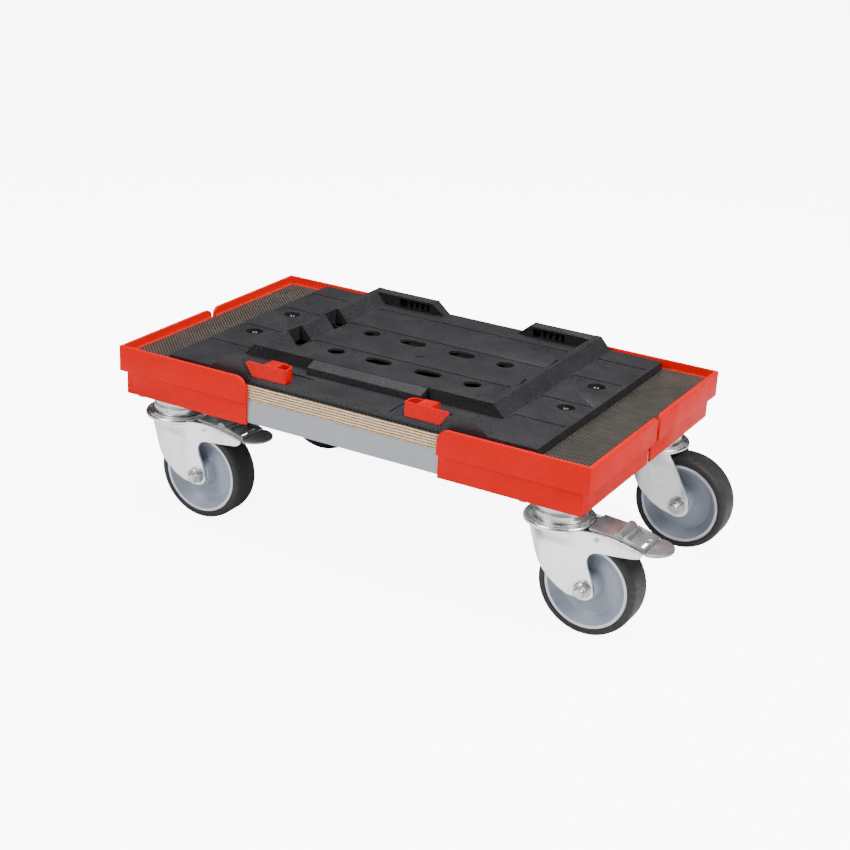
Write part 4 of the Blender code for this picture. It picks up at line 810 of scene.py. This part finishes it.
# %% Ball race and crown
race_low, race_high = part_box("ball_race_front_right")
RACE_RADIUS = (race_high.x - race_low.x) / 2
RACE_HEIGHT = race_high.z - race_low.z
race_corners = [(15 * MM, RACE_HEIGHT), (RACE_RADIUS, RACE_HEIGHT),
                (RACE_RADIUS, RACE_HEIGHT - 2.2 * MM), (RACE_RADIUS - 3.2 * MM, RACE_HEIGHT - 4.5 * MM),
                (RACE_RADIUS - 3.2 * MM, RACE_HEIGHT - 8.5 * MM),
                (RACE_RADIUS - 5.2 * MM, RACE_HEIGHT - 9.2 * MM),
                (RACE_RADIUS - 5.2 * MM, RACE_HEIGHT - 10.6 * MM),
                (RACE_RADIUS - 3.0 * MM, RACE_HEIGHT - 11.2 * MM),
                (RACE_RADIUS - 3.0 * MM, 0), (15 * MM, 0)]
race_mesh = turned_mesh("ball_race", rounded(race_corners, 0.8 * MM), 96)

CROWN_RADIUS = 35 * MM
CROWN_BASE = 103.5 * MM
CROWN_TOP = 109.5 * MM
crown_corners = [(6.7 * MM, CROWN_TOP), (28.5 * MM, CROWN_TOP), (30 * MM, CROWN_TOP - 0.9 * MM),
                 (31.5 * MM, CROWN_TOP), (CROWN_RADIUS - 1 * MM, CROWN_TOP - 0.4 * MM),
                 (CROWN_RADIUS, CROWN_TOP - 2.2 * MM), (CROWN_RADIUS, CROWN_BASE + 1.6 * MM),
                 (CROWN_RADIUS - 2 * MM, CROWN_BASE), (6.7 * MM, CROWN_BASE)]
crown_mesh = turned_mesh("crown", rounded(crown_corners, 0.9 * MM), 96)
print("race faces", len(race_mesh.polygons), "crown faces", len(crown_mesh.polygons))

# %% [markdown]
# ## Fork legs
#
# A leg is pressed from sheet. It starts as a flat outline with softly rounded edges: a 2D
# curve with an extrude and a bevel. The flat face is then sliced finely, so that it can
# bend smoothly: outwards to meet the crown, and round the closed side of the wheel.


# %% Leg outlines
def arc(centre_u, centre_v, radius, start, end, steps):
    points = []
    for step in range(steps + 1):
        angle = math.radians(start + (end - start) * step / steps)
        points.append((centre_u + radius * math.cos(angle), centre_v + radius * math.sin(angle)))
    return points


def smooth_line(points, steps=5):
    """A soft curve through the points (Catmull-Rom), ends kept."""
    ends = [points[0]] + list(points) + [points[-1]]
    result = []
    for i in range(1, len(ends) - 2):
        a, b, c, d = (Vector(ends[i + k]) for k in (-1, 0, 1, 2))
        for step in range(steps):
            t = step / steps
            result.append(tuple(0.5 * ((2 * b) + (c - a) * t + (2 * a - 5 * b + 4 * c - d) * t * t
                                       + (3 * b - a - 3 * c + d) * t ** 3)))
    result.append(points[-1])
    return result


TRAIL = (tyre_low.x + tyre_high.x) / 2 - (race_low.x + race_high.x) / 2
closed_side = [(-25, 106), (-24.5, 98), (-20.5, 85), (-13, 69), (-3, 57), (10, 46.5), (22, 40.8)]
brake_side = [(47, 56), (43.5, 66), (40, 75), (39.5, 82), (43, 87.5), (50, 90.2), (68, 92),
              (86, 94.5), (91, 97), (92.5, 100.2), (90, 102.5), (75, 106), (58, 109)]
brake_tail = [(45, 109.4), (30, 108)]
plain_side = [(49, 60), (38, 80), (27, 100), (24, 107)]


def leg_outline(brake):
    left = smooth_line([(x * MM, z * MM) for x, z in closed_side])
    foot = arc(TRAIL, WHEEL_RADIUS, (11 if brake else 13) * MM, 245, 345, 16)
    if not brake:
        return left + foot + [(x * MM, z * MM) for x, z in plain_side]
    wing = smooth_line([(x * MM, z * MM) for x, z in brake_side])
    return left + foot + wing + [(x * MM, z * MM) for x, z in brake_tail]


# %% Flat outline to solid
def outline_solid(title, points, low, high, edge=0.3 * MM):
    """A flat outline in X and Z, made thick from low to high in Y, with rounded edges."""
    curve = bpy.data.curves.new(title, "CURVE")
    curve.dimensions = "2D"
    curve.fill_mode = "BOTH"
    curve.extrude = (high - low) / 2 - edge
    curve.bevel_depth = edge
    curve.bevel_resolution = 1
    curve.offset = -edge
    spline = curve.splines.new("POLY")
    spline.points.add(len(points) - 1)
    for point, (u, v) in zip(spline.points, points):
        point.co = (u, v, 0, 1)
    spline.use_cyclic_u = True
    holder = bpy.data.objects.new(title, curve)
    bpy.context.scene.collection.objects.link(holder)
    mesh = mesh_from(holder)
    mesh.transform(Matrix.Translation((0, (low + high) / 2, 0)) @ Matrix.Rotation(math.pi / 2, 4, "X"))
    bm = bmesh.new()
    bm.from_mesh(mesh)
    bmesh.ops.remove_doubles(bm, verts=bm.verts, dist=2e-6)
    bmesh.ops.recalc_face_normals(bm, faces=bm.faces)
    bm.to_mesh(mesh)
    bm.free()
    return mesh


# %% Press the legs
FORK_INSIDE = 18.5 * MM
FORK_SHEET = 2.5 * MM
FLARE = 6 * MM              # how far a leg's top bends out to the crown
FLARE_FOOT_Z = 86 * MM
FLARE_HEIGHT = 18 * MM
FLARE_START_X = 36 * MM
FLARE_SPAN = 24 * MM
WRAP = 6.5 * MM             # how far its closed side bends in round the wheel
WRAP_START_X = -4 * MM
WRAP_SPAN = 20 * MM


def smooth_step(value):
    value = min(max(value, 0), 1)
    return value * value * (3 - 2 * value)


def pressed_leg(brake):
    mesh = outline_solid("leg", leg_outline(brake), FORK_INSIDE, FORK_INSIDE + FORK_SHEET)
    bm = bmesh.new()
    bm.from_mesh(mesh)
    cuts = [((0, 0, z * MM), (0, 0, 1)) for z in range(84, 106, 2)]
    cuts += [((x * MM, 0, 0), (1, 0, 0)) for x in range(-24, 38, 3)]
    for place, way in cuts:
        bmesh.ops.bisect_plane(bm, geom=bm.verts[:] + bm.edges[:] + bm.faces[:], dist=1e-7,
                               plane_co=place, plane_no=way)
    for vert in bm.verts:
        up = smooth_step((vert.co.z - FLARE_FOOT_Z) / FLARE_HEIGHT)
        across = smooth_step((FLARE_START_X - vert.co.x) / FLARE_SPAN)
        wrap = smooth_step((WRAP_START_X - vert.co.x) / WRAP_SPAN)
        vert.co.y += FLARE * up * across * (1 - wrap) - WRAP * wrap
    bm.to_mesh(mesh)
    bm.free()
    other = mesh.copy()
    other.transform(Matrix.Diagonal((1, -1, 1, 1)))
    other.flip_normals()
    return joined("legs", mesh, other)


fork_meshes = {}
for brake in (False, True):
    fork_meshes[brake] = joined("fork", crown_mesh, pressed_leg(brake))
print("fork faces:", {brake: len(mesh.polygons) for brake, mesh in fork_meshes.items()})

# %% [markdown]
# ## Axle bolt and lock nut
#
# The nut is a hexagon whose corners are cut off by a cone, with a round collar for its
# locking ring. A Boolean of a hexagon and a turned blank gives that chamfer exactly. The
# bolt's end shows its thread, which is a row of thin rings: another job for a node tree.


# %% Hexagon with chamfered corners
def hexagon(title, across_flats, low, high, chamfer):
    radius = across_flats / 2 / math.cos(math.pi / 6)
    bm = bmesh.new()
    bmesh.ops.create_cone(bm, cap_ends=True, segments=6, radius1=radius, radius2=radius,
                          depth=high - low, matrix=Matrix.Translation((0, 0, (low + high) / 2)))
    mesh = bpy.data.meshes.new(title)
    bm.to_mesh(mesh)
    bm.free()
    blank = turned_mesh("blank", [(0, high + 1e-5), (across_flats / 2 * 0.98, high + 1e-5),
                                  (radius * 1.02, high - chamfer), (radius * 1.02, low + chamfer),
                                  (across_flats / 2 * 0.98, low - 1e-5), (0, low - 1e-5)], 64, ring=False)
    holder = bpy.data.objects.new(title, mesh)
    cutter = bpy.data.objects.new("blank", blank)
    bpy.context.scene.collection.objects.link(holder)
    bpy.context.scene.collection.objects.link(cutter)
    boolean = holder.modifiers.new("chamfer", "BOOLEAN")
    boolean.operation = "INTERSECT"
    boolean.solver = "EXACT"
    boolean.object = cutter
    result = mesh_from(holder)
    bpy.data.objects.remove(cutter)
    return result


ACROSS_FLATS = 15 * MM
face = FORK_INSIDE + FORK_SHEET + 0.2 * MM
bolt_low, bolt_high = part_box("axle_bolt_front_right")
axle_middle_y = (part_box("tyre_front_right")[0].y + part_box("tyre_front_right")[1].y) / 2
THREAD_END = axle_middle_y - bolt_low.y
HEAD_END = bolt_high.y - axle_middle_y

washer_mesh = turned_mesh("washer", rounded([(5.2 * MM, face + 1.1 * MM), (9.2 * MM, face + 1.1 * MM),
                                             (9.2 * MM, face), (5.2 * MM, face)], 0.25 * MM), 48)
nut_hexagon = hexagon("nut", ACROSS_FLATS, face + 1.1 * MM, face + 6 * MM, 1.1 * MM)
collar_mesh = turned_mesh("collar", rounded([(5.1 * MM, face + 7.6 * MM), (6.3 * MM, face + 7.6 * MM),
                                             (7 * MM, face + 5.6 * MM), (5.1 * MM, face + 5.6 * MM)],
                                            0.5 * MM), 48)
end_mesh = turned_mesh("bolt_end", rounded([(0.01 * MM, THREAD_END), (3.9 * MM, THREAD_END),
                                            (4.5 * MM, THREAD_END - 0.8 * MM), (4.5 * MM, face - 1 * MM),
                                            (0.01 * MM, face - 1 * MM)], 0.2 * MM), 32)
head_mesh = hexagon("head", ACROSS_FLATS, face, HEAD_END, 1.0 * MM)
flange_mesh = turned_mesh("head_washer", rounded([(0.01 * MM, face + 0.7 * MM), (8.6 * MM, face + 0.7 * MM),
                                                  (8.6 * MM, face - 0.1 * MM), (0.01 * MM, face - 0.1 * MM)],
                                                 0.2 * MM), 48)
print("nut faces", len(nut_hexagon.polygons), "thread end", round(THREAD_END, 4))

# %% Tree: thread rings
thread_tree, entry, leave = new_tree("thread_rings", [("Count", "NodeSocketInt", 5),
                                                      ("Pitch", "NodeSocketFloat", 0.8 * MM),
                                                      ("Radius", "NodeSocketFloat", 4.6 * MM)])
step = add_node(thread_tree, "ShaderNodeCombineXYZ", Z=entry.outputs["Pitch"])
row = add_node(thread_tree, "GeometryNodeMeshLine", Count=entry.outputs["Count"],
               Offset=step.outputs["Vector"])
rows = add_node(thread_tree, "GeometryNodeInstanceOnPoints", Points=entry.outputs["Points"],
                Instance=row.outputs["Mesh"])
whole_rows = add_node(thread_tree, "GeometryNodeRealizeInstances", Geometry=rows.outputs["Instances"])
ring = add_node(thread_tree, "GeometryNodeCurvePrimitiveCircle", Resolution=40,
                Radius=entry.outputs["Radius"])
section = add_node(thread_tree, "GeometryNodeCurvePrimitiveCircle", Resolution=6, Radius=0.38 * MM)
crest = add_node(thread_tree, "GeometryNodeCurveToMesh", Curve=ring.outputs["Curve"],
                 Profile_Curve=section.outputs["Curve"])
crests = add_node(thread_tree, "GeometryNodeInstanceOnPoints", Points=whole_rows.outputs["Geometry"],
                  Instance=crest.outputs["Mesh"])
end_tree(thread_tree, leave, crests.outputs["Instances"], zinc_plate)
thread_mesh = grow(thread_tree, [(0, 0, face + 6.6 * MM)], Count=4, Pitch=0.85 * MM, Radius=4.5 * MM)
print("thread faces", len(thread_mesh.polygons))

# %% [markdown]
# ## Set out the casters
#
# The measured model says where each caster's swivel axis and axle are. The shared meshes
# are copied to each place, so an object stays at the origin with its place in its mesh,
# and each copy rides on its own body: race on the dolly, legs on the fork, tyre on the wheel.

# %% Floor of the pedal's pocket
# A thin sheet closes the framed pocket from below and leaves a slot at the toe flap. It
# slopes as the pedal does from its round lug to the frame's end. X is from the swivel axis.
LUG_X = 66 * MM
LUG_RISE = 4 * MM           # the lug's crest above the pedal's upper face
FRAME_END_X = 94 * MM
FRAME_DROP = 8 * MM
POCKET_SPAN = (74.5 * MM, 86 * MM)
POCKET_HALF = 14.4 * MM
POCKET_DEPTH = 1 * MM
POCKET_SHEET = 1.2 * MM

pedal_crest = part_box("brake_pedal_front_right")[1].z
pocket_top = [(x, pedal_crest - LUG_RISE - POCKET_DEPTH - FRAME_DROP * (x - LUG_X) / (FRAME_END_X - LUG_X))
              for x in POCKET_SPAN]
pocket_base = [(x, z - POCKET_SHEET) for x, z in pocket_top]
pocket_floor = outline_solid("pocket_floor", pocket_base + pocket_top[::-1], -POCKET_HALF, POCKET_HALF)
print("pocket floor from", pocket_base[0], "to", pocket_top[1])

# %% Casters
lying = Matrix.Rotation(-math.pi / 2, 4, "X")       # turns a part made along Z to lie along Y
flipped = Matrix.Rotation(math.pi / 2, 4, "X")
nut_mesh = joined("axle_nut", washer_mesh, nut_hexagon, collar_mesh)
bolt_mesh = joined("axle_bolt", placed(joined("end", end_mesh, thread_mesh), flipped),
                   placed(joined("head", head_mesh, flange_mesh), lying))


def swivel_place(corner):
    """The place on the ground under a caster's swivel axis."""
    low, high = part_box(f"ball_race_{corner}")
    return Matrix.Translation(((low.x + high.x) / 2, (low.y + high.y) / 2, 0))


for corner in CASTERS:
    swivel = swivel_place(corner)
    low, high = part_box(f"tyre_{corner}")
    axle = Matrix.Translation((low + high) / 2)
    race_place = swivel @ Matrix.Translation((0, 0, race_low.z))
    show(f"ball_race_{corner}_finished", placed(race_mesh, race_place), "dolly",
         "zinc_plated_steel", [zinc_fastener], f"ball_race_{corner}")
    soften(f"mount_plate_{corner}", "dolly", "zinc_plated_steel", [zinc_plate], 0.4 * MM)
    fork_body = f"fork_body_{corner}"
    show(f"fork_{corner}_finished", placed(fork_meshes[corner in BRAKED], swivel), fork_body,
         "zinc_plated_steel", [zinc_plate], f"fork_{corner}")
    show(f"axle_nut_{corner}_finished", placed(nut_mesh, axle @ flipped), fork_body,
         "zinc_plated_steel", [zinc_fastener], f"axle_nut_{corner}")
    show(f"axle_bolt_{corner}_finished", placed(bolt_mesh, axle), fork_body,
         "zinc_plated_steel", [zinc_fastener], f"axle_bolt_{corner}")
    wheel_body = f"wheel_body_{corner}"
    show(f"tyre_{corner}_finished", placed(tyre_mesh, axle @ lying), wheel_body,
         "grey_rubber", [grey_rubber], f"tyre_{corner}")
    rim = show(f"wheel_rim_{corner}_finished", placed(rim_mesh, axle @ lying), wheel_body,
               "wheel_plastic", [wheel_plastic, wheel_lip_highlight], f"wheel_rim_{corner}")
    # The lip faces take the paler material, a painted highlight on the rim's edge.
    for index in lip_faces:
        rim.data.polygons[index].material_index = 1
for corner in BRAKED:
    soften(f"brake_pedal_{corner}", f"pedal_body_{corner}", "zinc_plated_steel", [zinc_pedal],
           0.5 * MM, angle=30)
    show(f"pedal_pocket_floor_{corner}", placed(pocket_floor, swivel_place(corner)),
         f"pedal_body_{corner}", "zinc_plated_steel", [zinc_pedal])
print("casters:", len(CASTERS))

# %% Paint the solids that stay
kept = [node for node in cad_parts.values() if not node.hide_render]
for node in kept:
    node.data.materials.clear()
    node.data.materials.append(zinc_fastener)
print("solids kept as they are:", [node.name for node in kept])

# %% [markdown]
# ## Floor and light
#
# A plain white floor and three large soft lamps, as in a product studio. The strongest one
# hangs right above, one lights the long side from the front, and the key hangs at the right,
# so the short side of the buffers is a little brighter than the long one. The sky adds next
# to no light, or it would wash out the dark gloss of the plate. Floor and sky glow only as
# the camera sees them. The ground looks white, yet no glow lights the dolly from below.

# %% Studio
WHITE_GLOW = 8.0
SKY_LIGHT = 0.06
FLOOR_HALF = 8
LAMP_SIDE = 1.2
LAMP_AIM_Z = 0.1


def glow_for_camera(tree):
    """A glow that only the camera's own rays meet."""
    rays = add_node(tree, "ShaderNodeLightPath")
    return add_math(tree, "MULTIPLY", rays.outputs["Is Camera Ray"], WHITE_GLOW)


floor_mesh = bpy.data.meshes.new("floor")
bm = bmesh.new()
bmesh.ops.create_grid(bm, x_segments=1, y_segments=1, size=FLOOR_HALF)
bm.to_mesh(floor_mesh)
bm.free()
floor_material, tree, shader = start_material("pale_floor", 0.0, Roughness=0.7)
shader.inputs["Base Color"].default_value = (0.92, 0.92, 0.92, 1)
shader.inputs["Emission Color"].default_value = (1, 1, 1, 1)
tree.links.new(glow_for_camera(tree), shader.inputs["Emission Strength"])
floor_mesh.materials.append(floor_material)
floor = bpy.data.objects.new("floor", floor_mesh)
bpy.context.scene.collection.objects.link(floor)

world = bpy.data.worlds.new("studio")
world.use_nodes = True
tree = world.node_tree
sky = tree.nodes["Background"]
sky.inputs["Color"].default_value = (1, 1, 1, 1)
tree.links.new(add_math(tree, "ADD", glow_for_camera(tree), SKY_LIGHT), sky.inputs["Strength"])
bpy.context.scene.world = world


def add_lamp(title, place, power):
    """A square soft lamp that looks at the middle of the dolly."""
    data = bpy.data.lights.new(title, "AREA")
    data.shape = "SQUARE"
    data.size = LAMP_SIDE
    data.energy = power
    lamp = bpy.data.objects.new(title, data)
    aim = Vector(place) - Vector((0, 0, LAMP_AIM_Z))
    lamp.rotation_euler = aim.to_track_quat("Z", "Y").to_euler()
    lamp.location = place
    bpy.context.scene.collection.objects.link(lamp)


add_lamp("key", (1.7, -0.3, 1.7), 58)
add_lamp("front_fill", (-0.9, -1.9, 1.7), 54)
add_lamp("top", (0, 0.3, 2.2), 64)
print("studio ready")
